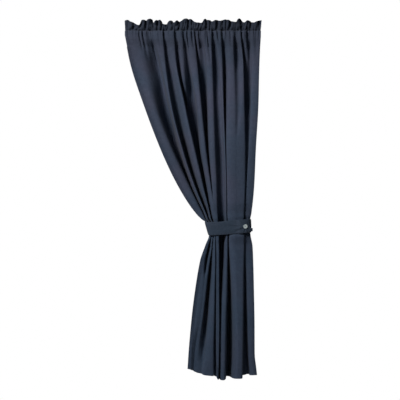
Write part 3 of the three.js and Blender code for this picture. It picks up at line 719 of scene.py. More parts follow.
def puff(grid):
    """How far the front of the cloth puffs out over the edges of the tieback."""
    x, y, z = np.moveaxis(grid, -1, 0)
    _, top, low = strap_edges(x)
    stands = 0
    for past_edge, (rise, grows, dies) in ((low - z, PUFF_UNDER), (z - top, PUFF_OVER)):
        stands = stands + rise * ease(*grows, past_edge) * ease(*dies, past_edge)
    return stands * ease(*PUFF_FRONT, y)


def across_at(grid, along, place):
    """The line down a grid of points at one place across the flat cloth."""
    return np.array([read_line(row, run, place) for run, row in zip(along, grid)])


def panel_sheet(linen, thread):
    heights = row_heights()
    places = column_places(PANEL_COLUMNS)
    x_seam = smooth(section_points(LEVELS["head"]), places)[:, 0]
    lines = np.array([section(z, places) for z in heights])
    down = np.repeat(heights[:, None], PANEL_COLUMNS, axis=1)
    along = np.array([flat_places(line) for line in lines])
    corner = CORNER["rise"] * (1 - along / CORNER["reach"]).clip(0, 1) ** 2
    lift = (np.maximum(lines[..., 2] - HEM, 0) + corner) * ease(LEVELS["tie"], HEM, down)
    grid = np.stack([lines[..., 0], lines[..., 1], down + lift], -1)
    grid += facing(grid) * panel_play(along, down)[..., None]
    grid[..., 1] += creases(x_seam, down) - puff(grid)
    grid[0, :, 2] = SEAM_LOW
    from_edge = np.minimum(along, FLAT_WIDTH - along)
    hemmed = np.maximum(1 - ease(*HEM_STEP, from_edge), down <= HEM + BOTTOM_HEM)
    thick = LAYER * mix(1, HEM_LAYERS, hemmed)
    normal = facing(grid)
    front = grid + normal * LAYER / 2
    back = grid - normal * (thick - LAYER / 2)[..., None]
    for side in (front, back):
        side[0, :, 2] = SEAM_LOW
    sheet = make_sheet("panel_cloth", front, back, np.stack([along, SEAM_LOW - down], -1))
    hem_row = np.argmin(np.abs(heights - (HEM + BOTTOM_HEM - HEM_STITCH)))
    inset = SIDE_HEM - HEM_STITCH
    rows = []
    for side, way in ((front, normal), (back, -normal)):
        rows.append((side[hem_row], way[hem_row]))
        for place in (inset, FLAT_WIDTH - inset):
            rows.append((across_at(side, along, place), across_at(way, along, place)))
    return put_sewn(sheet, "panel", linen, rows, thread)


# ---- the heading

def heading_path(places):
    """The heading's cloth as a grid: from the lower seam up the front of the pocket, up the ruffle, over
    its top edge, down its back and down the back of the pocket."""
    low = section(SEAM_LOW, places)
    head = smooth(section_points(LEVELS["head"]), places)
    x_head, share = head[:, 0], head[:, 1]
    along = flat_places(low)
    room = ROD_RADIUS + POCKET["clear"] + LAYER / 2
    seam = (share - 0.5) * SEAM_DEPTH

    def wall(z, side):
        """The pocket's front wall at side -1 and its back wall at side 1."""
        stand = POCKET["stand"] * (1 - share if side < 0 else share)
        off_rod = side * (room + stand)
        if side < 0:
            off_rod = np.minimum(off_rod + creases(x_head, z), -room)
        under = low[:, 1] + creases(x_head, SEAM_LOW) + (0 if side < 0 else POCKET["behind"])
        y = mix(under, off_rod, ease(SEAM_LOW, POCKET["stands_from"], z))
        x = smooth(section_points(float(z)), places)[:, 0]
        return np.stack([x, y + gathers(along, z), np.full(len(places), z)], -1)

    def shoulder(q, side):
        """The stretch over the rod, from the wall at q 0 to the gathering seam at q 1."""
        z = mix(POCKET["turns_at"], SEAM_TOP, math.sin(q * math.pi / 2))
        at_seam = seam + side * RUFFLE_LAYER_GAP + gathers(along, SEAM_TOP)
        y = mix(wall(POCKET["turns_at"], side)[:, 1], at_seam, 1 - math.cos(q * math.pi / 2))
        return np.stack([x_head, y, np.full(len(places), z)], -1)

    top = curve_through(RUFFLE[:, 0], RUFFLE[:, 1], x_head)
    lean = curve_through(RUFFLE[:, 0], RUFFLE[:, 2], x_head)
    slope = np.gradient(lean, x_head + np.arange(len(x_head)) * 1e-6)  # no two places at the same x
    slope = np.clip(slope, -RUFFLE_TURN["steepest"], RUFFLE_TURN["steepest"])
    flare = np.where(x_head < 0, FLARE["left"], FLARE["right"]) * (x_head / RUFFLE[-1, 0]) ** FLARE["power"]

    def ruffle(t):
        z = mix(SEAM_TOP, top, t)
        turn = (along - PLEAT["slant"] * z) / PLEAT["pitch"] + play("pleat_turn", along, z)
        pleats = PLEAT["rise"] * np.sin(2 * math.pi * turn) * (PLEAT["even"] + play("pleat_size", along))
        bulge = BULGE["rise"] * math.sin(math.pi * min(1, t / BULGE["ends"]))
        bulge = bulge * (BULGE["even"] + play("bulge", along))
        y = mix(seam, lean - RUFFLE_FORWARD, t**RUFFLE_RISE) - bulge + pleats * ease(*PLEAT["grows"], t)
        y = y + play("crumple", along, z) * ease(*CRUMPLE_GROWS, t)
        y = y + gathers(along, SEAM_TOP + GATHER["up_ruffle"] * t)
        return np.stack([x_head + (RUFFLE_TURN["aside"] * slope + flare) * t, y, z], -1)

    middle = np.array([ruffle(t) for t in np.linspace(0, 1, RUFFLE_ROWS)])
    normal = facing(middle[::-1])
    rim = middle[-1]
    up = unit(middle[-1] - middle[-2])
    rows = [wall(z, -1) for z in np.linspace(SEAM_LOW, POCKET["turns_at"], FRONT_ROWS + 1)[:-1]]
    rows += [shoulder(q, -1) for q in np.linspace(0, 1, SHOULDER_ROWS + 1)[:-1]]
    rows += list(middle + normal[::-1] * RUFFLE_LAYER_GAP)
    for turn in np.radians(RIM_TURNS):
        rows.append(rim + (normal[0] * math.cos(turn) + up * math.sin(turn)) * RUFFLE_LAYER_GAP)
    rows += list((middle - normal[::-1] * RUFFLE_LAYER_GAP)[::-1])
    rows += [shoulder(q, 1) for q in np.linspace(1, 0, SHOULDER_ROWS + 1)[1:]]
    rows += [wall(z, 1) for z in np.linspace(POCKET["turns_at"], SEAM_LOW, BACK_ROWS + 1)[1:]]
    rows.append(rows[-1] + TAIL)
    return np.array(rows), along


def heading_sheet(linen, thread):
    fine = fine_places()
    run = length_along(smooth(section_points(LEVELS["head"]), fine)[:, :1])
    run = run / run[-1] + np.linspace(0, 1, len(fine)) * HEADING_BUNCH
    places = np.interp(np.linspace(0, run[-1], HEADING_COLUMNS), run, fine)
    grid, along = heading_path(places)
    normal = facing(grid[::-1])[::-1]
    front = grid + normal * LAYER / 2
    back = grid - normal * LAYER / 2
    down = np.mean([length_along(line) for line in grid.swapaxes(0, 1)[::HEADING_SAMPLED]], axis=0)
    cloth = np.stack(np.broadcast_arrays(along[None, :], -down[:, None]), -1)
    sheet = make_sheet("heading_cloth", front[::-1], back[::-1], cloth[::-1])
    seam_front = FRONT_ROWS + SHOULDER_ROWS
    seam_back = seam_front + 2 * RUFFLE_ROWS + len(RIM_TURNS) - 1
    low_front, low_back = 1, len(grid) - 3
    rows = [(front[row], normal[row]) for row in (low_front, seam_front, seam_back, low_back)]
    return put_sewn(sheet, "heading", linen, rows, thread)


# ---- the tieback

def strap_route():
    """The tieback's middle line seen from above, from its inner end at the front, round the right side,
    the back and the left side, to its free end, which lies over the inner end."""
    half = STRAP_BACK - STRAP / 2
    middle = (TIE["right"] + TIE["left_top"]) / 2
    reach = (TIE["right"] - TIE["left_top"] - STRAP) / 2
    rounded = lambda v: math.copysign(abs(v) ** (2 / OVAL_POWER), v)
    loop = [(middle + reach * rounded(math.cos(angle)), half * rounded(math.sin(angle)))
            for angle in np.radians(np.linspace(-90, 270, LOOP_POINTS + 1)[:-1])]
    start = next(i for i, point in enumerate(loop) if point[0] > TIE["inner_end"])
    loop = loop[start:] + [point for point in loop[:start] if point[0] < TIE["lap_from"]]
    front = lambda x: -half * (1 - (abs(x - middle) / reach) ** OVAL_POWER) ** (1 / OVAL_POWER)
    slope = lambda x: front(x + 0.5) - front(x - 0.5)
    for x in np.linspace(TIE["lap_from"], TIE["tip"], LAP_POINTS):
        near = min(x, TIE["bend"])
        risen = ease(TIE["lap_from"], TIE["lap_risen"], x) * math.hypot(1, slope(near))
        loop.append((x, front(near) + TIE["slant"] * (x - near) - (STRAP + LAP_GAP) * risen))
    return np.array(loop)


def strap_folds(x, z):
    """How far the strap's cloth stands off its even shape, where it is drawn towards the button."""
    button = (BUTTON_LOW + BUTTON_HIGH) / 2
    stands = 0
    for x_far, z_far, half, height in STRAP_FOLDS:
        run = np.array([button[0] - x_far, button[2] - z_far])
        t = ((x - x_far) * run[0] + (z - z_far) * run[1]) / (run @ run)
        off = np.hypot(x - x_far - t * run[0], z - z_far - t * run[1])
        stands = stands + height * bell(off, 0, half) * ease(*FOLD_GROWS, t) * ease(*FOLD_DIES, t)
    return stands


def tieback_sheet(linen, thread):
    route = strap_route()
    run = length_along(route)
    even = np.linspace(0, run[-1], STRAP_COLUMNS)
    x, y = read_line(route, run, even).T
    share, top, low = strap_edges(x)
    top = top - TOP_DIP["drop"] * ease(*TOP_DIP["grows"], share) * ease(*TOP_DIP["dies"], share) * (y < 0)
    down = np.linspace(0, 1, STRAP_ROWS)[:, None]
    tip = TIE["tip_height"] + TIE["tip_half"] * (1 - 2 * down)
    at_tip = ease(run[-1] - TIP_LENGTH, run[-1], even)
    z = mix(mix(top, low, down), tip, at_tip)
    x_leaning = x + (TIE["left_low"] - TIE["left_top"]) * down * (1 - share)
    grid = np.stack([x_leaning, np.broadcast_to(y, z.shape), z], -1)
    lap_seen = ease(*(run[-1] - away for away in LAP_FOLDS), even)
    edge = np.abs(2 * down - 1)
    lift = strap_folds(x_leaning, z) * lap_seen + play("strap", even[None, :], z) * (1 - at_tip)
    grid = grid + facing(grid) * (lift - EDGE_ROLL["back"] * edge ** EDGE_ROLL["power"])[..., None]
    normal = facing(grid)
    thinned = mix(EDGE_ROUND["left"], 1, np.sqrt(1 - edge ** EDGE_ROUND["power"]))
    half = STRAP / 2 * thinned * np.ones((1, STRAP_COLUMNS))
    front = grid + normal * half[..., None]
    back = grid - normal * half[..., None]
    cloth = np.stack(np.broadcast_arrays(even[None, :], down * STRAP_FLAT[1]), -1)
    sheet = make_sheet("tieback_strap", front, back, cloth)
    inset = round(EDGE_STITCH / STRAP_FLAT[1] * (STRAP_ROWS - 1))
    rows = [(front[row], normal[row]) for row in (inset, STRAP_ROWS - 1 - inset)]
    return put_sewn(sheet, "tieback", linen, rows, thread)


# ---- stitches

def bars(name, centres, ways, normals, half, radius, arch):
    """Short rounded bars of thread, one at each centre. Their ends sink into what they are sewn on."""
    ways, normals = unit(ways), unit(normals)
    sides = unit(np.cross(ways, normals))
    parts = [centres - ways * half]
    for t, size in BAR_RINGS:
        middle = centres + ways * half * t + normals * arch * (1 - t * t)
        for a in np.linspace(0, 2 * math.pi, BAR_SIDES, endpoint=False):
            parts.append(middle + (sides * math.cos(a) + normals * math.sin(a)) * radius * size)
    parts.append(centres + ways * half)
    faces = capped_rings(len(BAR_RINGS), BAR_SIDES)
    firsts = range(0, len(parts) * len(centres), len(parts))
    every = [tuple(first + point for point in face) for first in firsts for face in faces]
    return mesh_piece(name, np.stack(parts, 1).reshape(-1, 3), every)


def stitch_rows(name, rows, thread):
    """Rows of stitches as one piece. Each row is a line of points, and the way the cloth faces at each."""
    centres, ways, normals = [], [], []
    for points, facings in rows:
        run = length_along(points)
        at = np.arange(STITCH["pitch"], run[-1] - STITCH["pitch"] / 2, STITCH["pitch"])
        centres.append(read_line(points, run, at))
        ways.append(read_line(points, run, at + 0.5) - read_line(points, run, at - 0.5))
        normals.append(read_line(facings, run, at))
    centres, ways, normals = (np.concatenate(part) for part in (centres, ways, normals))
    piece = bars(name, centres, ways, normals, STITCH["half"], STITCH["radius"], STITCH["arch"])
    return put(piece, None, thread)


# ---- the button

def lathe(name, outline, radius, thick, sides):
    """A closed round solid that faces -Y, from its outline: shares of the radius and of the thickness."""
    angles = np.linspace(0, 2 * math.pi, sides, endpoint=False)
    depth = lambda share: thick / 2 - share * thick
    points = [(0, depth(outline[0][1]), 0)]
    for r, h in outline[1:-1]:
        points += [(r * radius * math.cos(a), depth(h), r * radius * math.sin(a)) for a in angles]
    points.append((0, depth(outline[-1][1]), 0))
    return mesh_piece(name, points, capped_rings(len(outline) - 2, sides))


def drill_hole(button, spot, thick):
    """Cuts one sewing hole through the button."""
    drill = lathe("drill", HOLE_OUTLINE, HOLES["radius"], thick, HOLES["sides"])
    drill.data.transform(Matrix.Translation(Vector(spot * MM)))
    cut = button.modifiers.new("hole", "BOOLEAN")
    cut.operation = "DIFFERENCE"
    cut.solver = "EXACT"
    cut.object = drill
    drilled = bpy.data.meshes.new_from_object(button.evaluated_get(bpy.context.evaluated_depsgraph_get()))
    button.modifiers.clear()
    button.data = drilled
    bpy.data.objects.remove(drill)


def button_pieces(shell, thread):
    """The button with its sewing holes, turned to lie on the lap, and the thread crossed between them."""
    radius = (BUTTON_HIGH[2] - BUTTON_LOW[2]) / 2
    centre = (BUTTON_LOW + BUTTON_HIGH) / 2
    lap = strap_route()[-LAP_POINTS:]
    k = np.searchsorted(lap[:, 0], centre[0])
    turn = math.atan2(lap[k, 1] - lap[k - 1, 1], lap[k, 0] - lap[k - 1, 0])
    thick = (BUTTON_HIGH[1] - BUTTON_LOW[1] - 2 * radius * abs(math.sin(turn))) / math.cos(turn)
    button = lathe("button_shell", BUTTON_OUTLINE, radius, thick, BUTTON_SIDES)
    angles = [math.radians(HOLES["turn"] + 360 * k / HOLES["count"]) for k in range(HOLES["count"])]
    spots = np.array([(math.cos(a), 0, math.sin(a)) for a in angles]) * HOLES["out"]
    for spot in spots:
        drill_hole(button, spot, thick)
    dish = (0.5 - BUTTON_OUTLINE[-1][1]) * thick
    starts, ends = np.split(spots, 2)
    middles = (starts + ends) / 2
    middles[:, 1] += dish - THREAD["over"] * np.arange(len(middles))
    front = np.tile((0.0, -1, 0), (len(middles), 1))
    half = HOLES["out"] * THREAD["reach"]
    sewn = bars("button_thread", middles, ends - starts, front, half, THREAD["radius"], THREAD["arch"])
    place = Matrix.Translation(Vector(centre * MM)) @ Matrix.Rotation(turn, 4, "Z")
    for piece in (button, sewn):
        piece.data.transform(place)
    return put(button, "button", shell), put(sewn, None, thread)


# ---- finishes that several materials share

# Lengths and heights are in metres here, as Blender's are.
WEAVE_PITCH = 0.0011  # from one yarn to the next
PLY_PITCH = 0.0007  # along a thread, from one ply to the next
SLUB = {"Length": 0.06, "Width": 0.0026}
WEAR_REACH = 0.005  # how far wear reaches in from an edge
YARN_OVER = 2.5  # how sharply one yarn goes under the other
YARN_WEAR = 0.6  # how much of the wear lies on the yarns only
MOTTLE_RATE = 14.0  # how much smaller the dye's mottling is than its drift
DYE_BATCH = 3.0  # which part of the dye's drift the cloth is cut from
DRIFT_SIZE = {"panel": 0.23, "tieback": 0.12, "thread": 0.1, "shell": 0.012}

# The values of a pattern between which its mask goes from 0 to 1.
GAP_LIMITS = (0.75, 0.35)
SLUB_LIMITS = (0.54, 0.74)
DRIFT_LIMITS = (0.36, 0.64)
MOTTLE_LIMITS = (0.35, 0.65)

# Heights between which painted shade darkens the colour under the gathering seam and up the ruffle, and how
# much;
# and those between which painted shade makes it darker and colder towards the hem.
SHADE_UNDER_SEAM = (-0.30, 0.01, 0.0, 0.44)
SHADE_UP_RUFFLE = (0.008, 0.024, 0.0, 0.36)
SHADE_TO_HEM = (-0.75, -1.35)


def node(tree, kind, inputs=None, **settings):
    """A new node with these settings. Each input is a value, or the output of another node."""
    made = tree.nodes.new(kind)
    for name, value in settings.items():
        setattr(made, name, value)
    for key, value in (inputs or {}).items():
        if isinstance(value, bpy.types.NodeSocket):
            tree.links.new(value, made.inputs[key])
        else:
            made.inputs[key].default_value = value
    return made


def maths(tree, operation, *values):
    return node(tree, "ShaderNodeMath", dict(enumerate(values)), operation=operation).outputs[0]


def blend(tree, factor, a, b):
    """A colour between two others. A plain colour is three numbers."""
    whole = lambda c: c if isinstance(c, bpy.types.NodeSocket) else (*c, 1)
    return node(tree, "ShaderNodeMix", {0: factor, 6: whole(a), 7: whole(b)}, data_type="RGBA").outputs[2]


def tint(tree, colour, mask, share, other):
    """The colour, blended this much with another where the mask is 1."""
    return blend(tree, maths(tree, "MULTIPLY", mask, share), colour, other)


def between_values(tree, value, low, high, start=0.0, end=1.0):
    """A value's place between two limits, given as start to end with soft ends."""
    inputs = {"Value": value, "From Min": low, "From Max": high, "To Min": start, "To Max": end}
    return node(tree, "ShaderNodeMapRange", inputs, interpolation_type="SMOOTHSTEP").outputs[0]


def new_group(name, inputs, outputs):
    """An empty node group, and the sockets by which values come in and go out."""
    tree = bpy.data.node_groups.new(name, "ShaderNodeTree")
    for label, value in inputs.items():
        kind = "NodeSocketVector" if value is None else "NodeSocketFloat"
        socket = tree.interface.new_socket(label, in_out="INPUT", socket_type=kind)
        if value is not None:
            socket.default_value = value
    for label in outputs:
        tree.interface.new_socket(label, in_out="OUTPUT", socket_type="NodeSocketFloat")
    given, gives = tree.nodes.new("NodeGroupInput").outputs, tree.nodes.new("NodeGroupOutput").inputs
    return tree, given, lambda label, socket: tree.links.new(socket, gives[label])


def use(tree, group, **inputs):
    """A group placed in a material. Its outputs are read by name."""
    return node(tree, "ShaderNodeGroup", inputs, node_tree=bpy.data.node_groups[group]).outputs


def linen_weave():
    """Yarns that pass over and under each other, on the flat cloth."""
    tree, given, give = new_group("linen_weave", {"Cloth": None, "Pitch": 0.001}, ["Height", "Gap"])
    axes = node(tree, "ShaderNodeSeparateXYZ", {0: given["Cloth"]}).outputs
    rate = maths(tree, "DIVIDE", math.pi, given["Pitch"])
    warp, weft = (maths(tree, "SINE", maths(tree, "MULTIPLY", axes[k], rate)) for k in (0, 1))
    over = maths(tree, "MULTIPLY_ADD", maths(tree, "MULTIPLY", warp, weft), YARN_OVER, 0.5)
    yarns = [maths(tree, "ABSOLUTE", yarn) for yarn in (warp, weft)]
    height = node(tree, "ShaderNodeMix", {0: over, 2: yarns[0], 3: yarns[1]}, data_type="FLOAT").outputs[0]
    give("Height", height)
    give("Gap", between_values(tree, maths(tree, "MAXIMUM", *yarns), *GAP_LIMITS))


def yarn_slubs():
    """Stretches where the yarn is thicker, along the cloth and across it: 1 on a slub."""
    tree, given, give = new_group("yarn_slubs", {"Cloth": None, "Length": 0.05, "Width": 0.002}, ["Slub"])
    runs = []
    for order in (("Width", "Length"), ("Length", "Width")):
        size = node(tree, "ShaderNodeCombineXYZ", {0: given[order[0]], 1: given[order[1]], 2: 1.0}).outputs[0]
        spot = node(tree, "ShaderNodeVectorMath", {0: given["Cloth"], 1: size}, operation="DIVIDE").outputs[0]
        noise = node(tree, "ShaderNodeTexNoise", {"Vector": spot, "Scale": 1.0, "Detail": 1.0}).outputs[0]
        runs.append(between_values(tree, noise, *SLUB_LIMITS))
    give("Slub", maths(tree, "MAXIMUM", *runs))


def dye_drift():
    """How evenly the dye has taken: a slow drift from fold to fold, and small mottling."""
    inputs = {"Place": None, "Size": 0.2, "Batch": 0.0}
    tree, given, give = new_group("dye_drift", inputs, ["Drift", "Mottle"])
    rate = maths(tree, "DIVIDE", 1.0, given["Size"])
    spread = {"Vector": given["Place"], "W": given["Batch"], "Scale": rate, "Detail": 2.0}
    slow = node(tree, "ShaderNodeTexNoise", spread, noise_dimensions="4D").outputs[0]
    dense = {"Vector": given["Place"], "Scale": maths(tree, "MULTIPLY", rate, MOTTLE_RATE), "Detail": 3.0}
    small = node(tree, "ShaderNodeTexNoise", dense).outputs[0]
    give("Drift", between_values(tree, slow, *DRIFT_LIMITS))
    give("Mottle", between_values(tree, small, *MOTTLE_LIMITS))


def painted_shade():
    """Painted shade: how much darker the colour is under the gathering seam and up the ruffle, and how much
    darker and colder towards the hem.
    """
    tree, given, give = new_group("painted_shade", {"Height": 0.0}, ["Gathered", "Low"])
    under, ruffle = (between_values(tree, given["Height"], *reach) for reach in (SHADE_UNDER_SEAM, SHADE_UP_RUFFLE))
    give("Gathered", maths(tree, "ADD", under, ruffle))
    give("Low", between_values(tree, given["Height"], *SHADE_TO_HEM))


def edge_wear():
    """Paler cloth along the edges of a cut piece, broken up by its yarns."""
    inputs = {"Cloth": None, "Width": 1.0, "Length": 1.0, "Reach": 0.004, "Yarns": 0.5}
    tree, given, give = new_group("edge_wear", inputs, ["Wear"])
    axes = node(tree, "ShaderNodeSeparateXYZ", {0: given["Cloth"]}).outputs
    right, end = (maths(tree, "SUBTRACT", given[side], axes[k]) for k, side in enumerate(("Width", "Length")))
    nearest = maths(tree, "MINIMUM", maths(tree, "MINIMUM", axes[0], right), end)
    close = between_values(tree, nearest, given["Reach"], 0.0)
    on_yarns = maths(tree, "MULTIPLY_ADD", given["Yarns"], YARN_WEAR, 1 - YARN_WEAR)
    give("Wear", maths(tree, "MULTIPLY", close, on_yarns))


# ---- materials

def new_material(name, fixed):
    """A material, its node tree, and its shader with the values that are the same all over."""
    material = bpy.data.materials.new(name)
    material.use_nodes = True
    shader = material.node_tree.nodes["Principled BSDF"]
    for label, value in fixed.items():
        shader.inputs[label].default_value = value
    return material, material.node_tree, shader


def finish_surface(kind, tree, shader, colour, detail, height):
    """Joins what changes over a surface to its shader."""
    roughness = maths(tree, "MULTIPLY_ADD", detail, *ROUGHNESS[kind])
    relief = {"Height": height, "Strength": RELIEF_STRENGTH, "Distance": RELIEF[kind]}
    bump = node(tree, "ShaderNodeBump", relief)
    tree.links.new(colour, shader.inputs["Base Color"])
    tree.links.new(roughness, shader.inputs["Roughness"])
    tree.links.new(bump.outputs[0], shader.inputs["Normal"])


# How much a surface's detail adds to its roughness, and the roughness without it.
ROUGHNESS = {"linen": (-0.1, 0.9), "thread": (-0.12, 0.72), "shell": (0.2, 0.25)}

# The height of a surface's relief, in metres.
RELIEF = {"linen": 0.00025, "thread": 0.0001, "shell": 0.00005}
RELIEF_STRENGTH = 0.7
SLUB_RELIEF = 1.2  # how far a slub stands out, where a yarn of the weave stands out 1

# Values that are the same all over a surface.
LINEN_SHEEN = {"Sheen Weight": 0.06, "Sheen Roughness": 0.4, "Specular IOR Level": 0.25}
THREAD_SHEEN = {"Sheen Weight": 0.05, "Specular IOR Level": 0.35}
SHELL_COAT = {"Coat Weight": 0.25, "Coat Roughness": 0.2, "Specular IOR Level": 0.5}
SHELL_GRAIN = {"Scale": 900.0, "Detail": 4.0}

# The linen's colours: the dye's two tones, painted shade towards the hem, a dark tone for the mottling, the
# gaps between the yarns and painted shade under the gathering seam, and the tone of slubs and worn edges.
DYE_AND_SHADE = {"warm": (0.054, 0.063, 0.104), "cold": (0.040, 0.059, 0.098), "low": (0.028, 0.055, 0.098),
       "deep": (0.012, 0.017, 0.028), "pale": (0.085, 0.098, 0.145)}
TIE_DYE_AND_SHADE = {**DYE_AND_SHADE, "warm": (0.033, 0.047, 0.076), "cold": (0.028, 0.046, 0.074), "low": (0.031, 0.048, 0.078)}
THREAD_DYE = {"dark": (0.030, 0.040, 0.066), "pale": (0.060, 0.074, 0.112)}
SHELL = {"grey": (0.46, 0.54, 0.56), "pale": (0.61, 0.69, 0.70), "cloud": (0.32, 0.38, 0.40)}

# What lies over the linen's two tones, in this order: the mask, its share where it is 1, and the tone. The
# first and the fifth layers are painted shade.
LINEN_LAYERS = [("low", 0.5, "low"), ("mottle", 0.16, "deep"), ("slub", 0.22, "pale"),
                ("gap", 0.3, "deep"), ("gathered", 1, "deep"), ("wear", 0.4, "pale")]
THREAD_PLY = 0.3  # the pale tone's share on a ply
SHELL_CLOUDS = 0.25  # the clouds' share of the shell's colour


def linen(name, dye_and_shade, cut, drift_size):
    """Dyed linen, darkened by painted shade under the gathering seam, up the ruffle and towards the hem. cut
    is the piece's flat size, drift_size how far apart the dye's two tones lie.
    """
    material, tree, shader = new_material(name, LINEN_SHEEN)
    cloth = node(tree, "ShaderNodeUVMap", uv_map="cloth").outputs[0]
    place = node(tree, "ShaderNodeTexCoord").outputs["Object"]
    height = node(tree, "ShaderNodeSeparateXYZ", {0: place}).outputs[2]
    weave = use(tree, "linen_weave", Cloth=cloth, Pitch=WEAVE_PITCH)
    slubs = use(tree, "yarn_slubs", Cloth=cloth, **SLUB)["Slub"]
    taken = use(tree, "dye_drift", Place=place, Size=drift_size, Batch=DYE_BATCH)
    # Painted shade: darker under the gathering seam and up the ruffle, darker and colder towards the hem.
    shade = use(tree, "painted_shade", Height=height)
    size = {"Width": cut[0], "Length": cut[1]}
    wear = use(tree, "edge_wear", Cloth=cloth, **size, Reach=WEAR_REACH, Yarns=weave["Height"])["Wear"]
    masks = {"low": shade["Low"], "mottle": taken["Mottle"], "slub": slubs, "gap": weave["Gap"],
             "gathered": shade["Gathered"], "wear": wear}
    colour = blend(tree, taken["Drift"], dye_and_shade["warm"], dye_and_shade["cold"])
    for mask, share, tone in LINEN_LAYERS:
        colour = tint(tree, colour, masks[mask], share, dye_and_shade[tone])
    raised = maths(tree, "MULTIPLY_ADD", slubs, SLUB_RELIEF, weave["Height"])
    finish_surface("linen", tree, shader, colour, slubs, raised)
    return material


def sewing_thread():
    """Dyed thread, whose plies slant round it."""
    material, tree, shader = new_material("sewing_thread", THREAD_SHEEN)
    place = node(tree, "ShaderNodeTexCoord").outputs["Object"]
    axes = node(tree, "ShaderNodeSeparateXYZ", {0: place}).outputs
    slant = maths(tree, "ADD", maths(tree, "ADD", axes[0], axes[1]), axes[2])
    turn = maths(tree, "SINE", maths(tree, "MULTIPLY", slant, 2 * math.pi / PLY_PITCH))
    ply = maths(tree, "MULTIPLY_ADD", turn, 0.5, 0.5)
    drift = use(tree, "dye_drift", Place=place, Size=DRIFT_SIZE["thread"])["Drift"]
    colour = blend(tree, drift, THREAD_DYE["dark"], THREAD_DYE["pale"])
    colour = tint(tree, colour, ply, THREAD_PLY, THREAD_DYE["pale"])
    finish_surface("thread", tree, shader, colour, ply, ply)
    return material


def button_shell_finish():
    """Pale grey shell, cloudy and finely grained."""
    material, tree, shader = new_material("button_shell", SHELL_COAT)
    place = node(tree, "ShaderNodeTexCoord").outputs["Object"]
    clouds = use(tree, "dye_drift", Place=place, Size=DRIFT_SIZE["shell"])
    grain = node(tree, "ShaderNodeTexNoise", {"Vector": place, **SHELL_GRAIN}).outputs[0]
    colour = blend(tree, clouds["Drift"], SHELL["grey"], SHELL["pale"])
    colour = tint(tree, colour, clouds["Mottle"], SHELL_CLOUDS, SHELL["cloud"])
    finish_surface("shell", tree, shader, colour, grain, grain)
    return material


# ---- floor, lights and camera, in metres

FLOOR = {"half": 2.6, "below": 0.02, "tone": 0.5}  # half its side, how far it is below the hem, and its grey
SOFT_LIGHT = {"Color": (0.6, 0.87, 1, 1), "Strength": 0.045}

# Lamps: azimuth and elevation in degrees, distance, size, watts, colour, and the height at which they point.
LAMPS = {
    "key_light": (-38, 28, 4.4, 1.5, 215, (1, 0.97, 0.94), -0.5),
    "back_light": (180, 25, 4.4, 2, 110, (1, 0.98, 0.96), -1),
}

# The camera: how far it is from the rod, how much it sees there, and how far off the middle it stands.
CAMERA = {"distance": 4.9, "width": 2.38, "right": 0.0412, "up": -0.0057, "sensor": 36}


def lit_and_seen(tree, lit, seen, output):
    """One shader for what light meets, and another for what the camera sees."""
    camera = node(tree, "ShaderNodeLightPath").outputs["Is Camera Ray"]
    both = node(tree, "ShaderNodeMixShader", {0: camera, 1: lit.outputs[0], 2: seen.outputs[0]})
    node(tree, output, {0: both.outputs[0]})


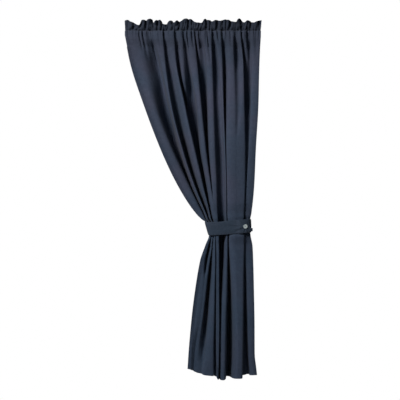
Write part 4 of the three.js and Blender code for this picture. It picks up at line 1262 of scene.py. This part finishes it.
def set_stage():
    """A plain pale floor and background, soft lamps, and the camera."""
    scene = bpy.context.scene
    scene.view_settings.view_transform = "Standard"
    centre = (np.array(cad_box[0]) + np.array(cad_box[1])) / 2
    scene.world = bpy.data.worlds.new("studio")
    paint = bpy.data.materials.new("floor_paint")
    for painted in (scene.world, paint):
        painted.use_nodes = True
        painted.node_tree.nodes.clear()
    tree = scene.world.node_tree
    lit = node(tree, "ShaderNodeBackground", SOFT_LIGHT)
    seen = node(tree, "ShaderNodeBackground", {"Color": (1, 1, 1, 1)})
    lit_and_seen(tree, lit, seen, "ShaderNodeOutputWorld")
    tree = paint.node_tree
    lit = node(tree, "ShaderNodeBsdfDiffuse", {"Color": (*[FLOOR["tone"]] * 3, 1)})
    seen = node(tree, "ShaderNodeEmission", {"Color": (1, 1, 1, 1)})
    lit_and_seen(tree, lit, seen, "ShaderNodeOutputMaterial")

    half = FLOOR["half"] / MM
    floor = mesh_piece("floor", [(-half, -half, 0), (half, -half, 0), (half, half, 0), (-half, half, 0)],
                       [(0, 1, 2, 3)])
    floor.location = (centre[0], centre[1], HEM * MM - FLOOR["below"])
    floor.data.materials.append(paint)

    for name, (azimuth, elevation, distance, size, watts, colour, aim) in LAMPS.items():
        lamp = add_object(name, bpy.data.lights.new(name, "AREA"))
        lamp.data.shape = "DISK"
        lamp.data.size = size
        lamp.data.energy = watts
        lamp.data.color = colour
        a, e = math.radians(azimuth), math.radians(elevation)
        away = Vector((math.sin(a) * math.cos(e), -math.cos(a) * math.cos(e), math.sin(e)))
        lamp.location = Vector((centre[0], centre[1], aim)) + away * distance
        lamp.rotation_euler = (-away).to_track_quat("-Z", "Y").to_euler()

    camera = add_object("camera", bpy.data.cameras.new("camera"))
    camera.data.sensor_width = CAMERA["sensor"]
    camera.data.lens = CAMERA["sensor"] * CAMERA["distance"] / CAMERA["width"]
    camera.location = (centre[0] + CAMERA["right"], -CAMERA["distance"], centre[2] + CAMERA["up"])
    camera.rotation_euler = (math.radians(90), 0, 0)
    scene.camera = camera


# ---- the curtain

set_stage()
for build_group in (linen_weave, yarn_slubs, dye_drift, painted_shade, edge_wear):
    build_group()

PANEL_FLAT_M = (FLAT_WIDTH * MM, FLAT_LENGTH * MM)
STRAP_FLAT_M = tuple(side * MM for side in STRAP_FLAT)
NO_END = 9  # out of reach: the heading's cloth goes on into the panel, so it has no worn lower end

thread = sewing_thread()
panel_linen = linen("panel_linen", DYE_AND_SHADE, PANEL_FLAT_M, DRIFT_SIZE["panel"])
heading_linen = linen("heading_linen", DYE_AND_SHADE, (FLAT_WIDTH * MM, NO_END), DRIFT_SIZE["panel"])
tieback_linen = linen("tieback_linen", TIE_DYE_AND_SHADE, STRAP_FLAT_M, DRIFT_SIZE["tieback"])
heading, heading_sewn = heading_sheet(heading_linen, thread)
panel, panel_sewn = panel_sheet(panel_linen, thread)
strap, strap_sewn = tieback_sheet(tieback_linen, thread)
button, button_sewn = button_pieces(button_shell_finish(), thread)
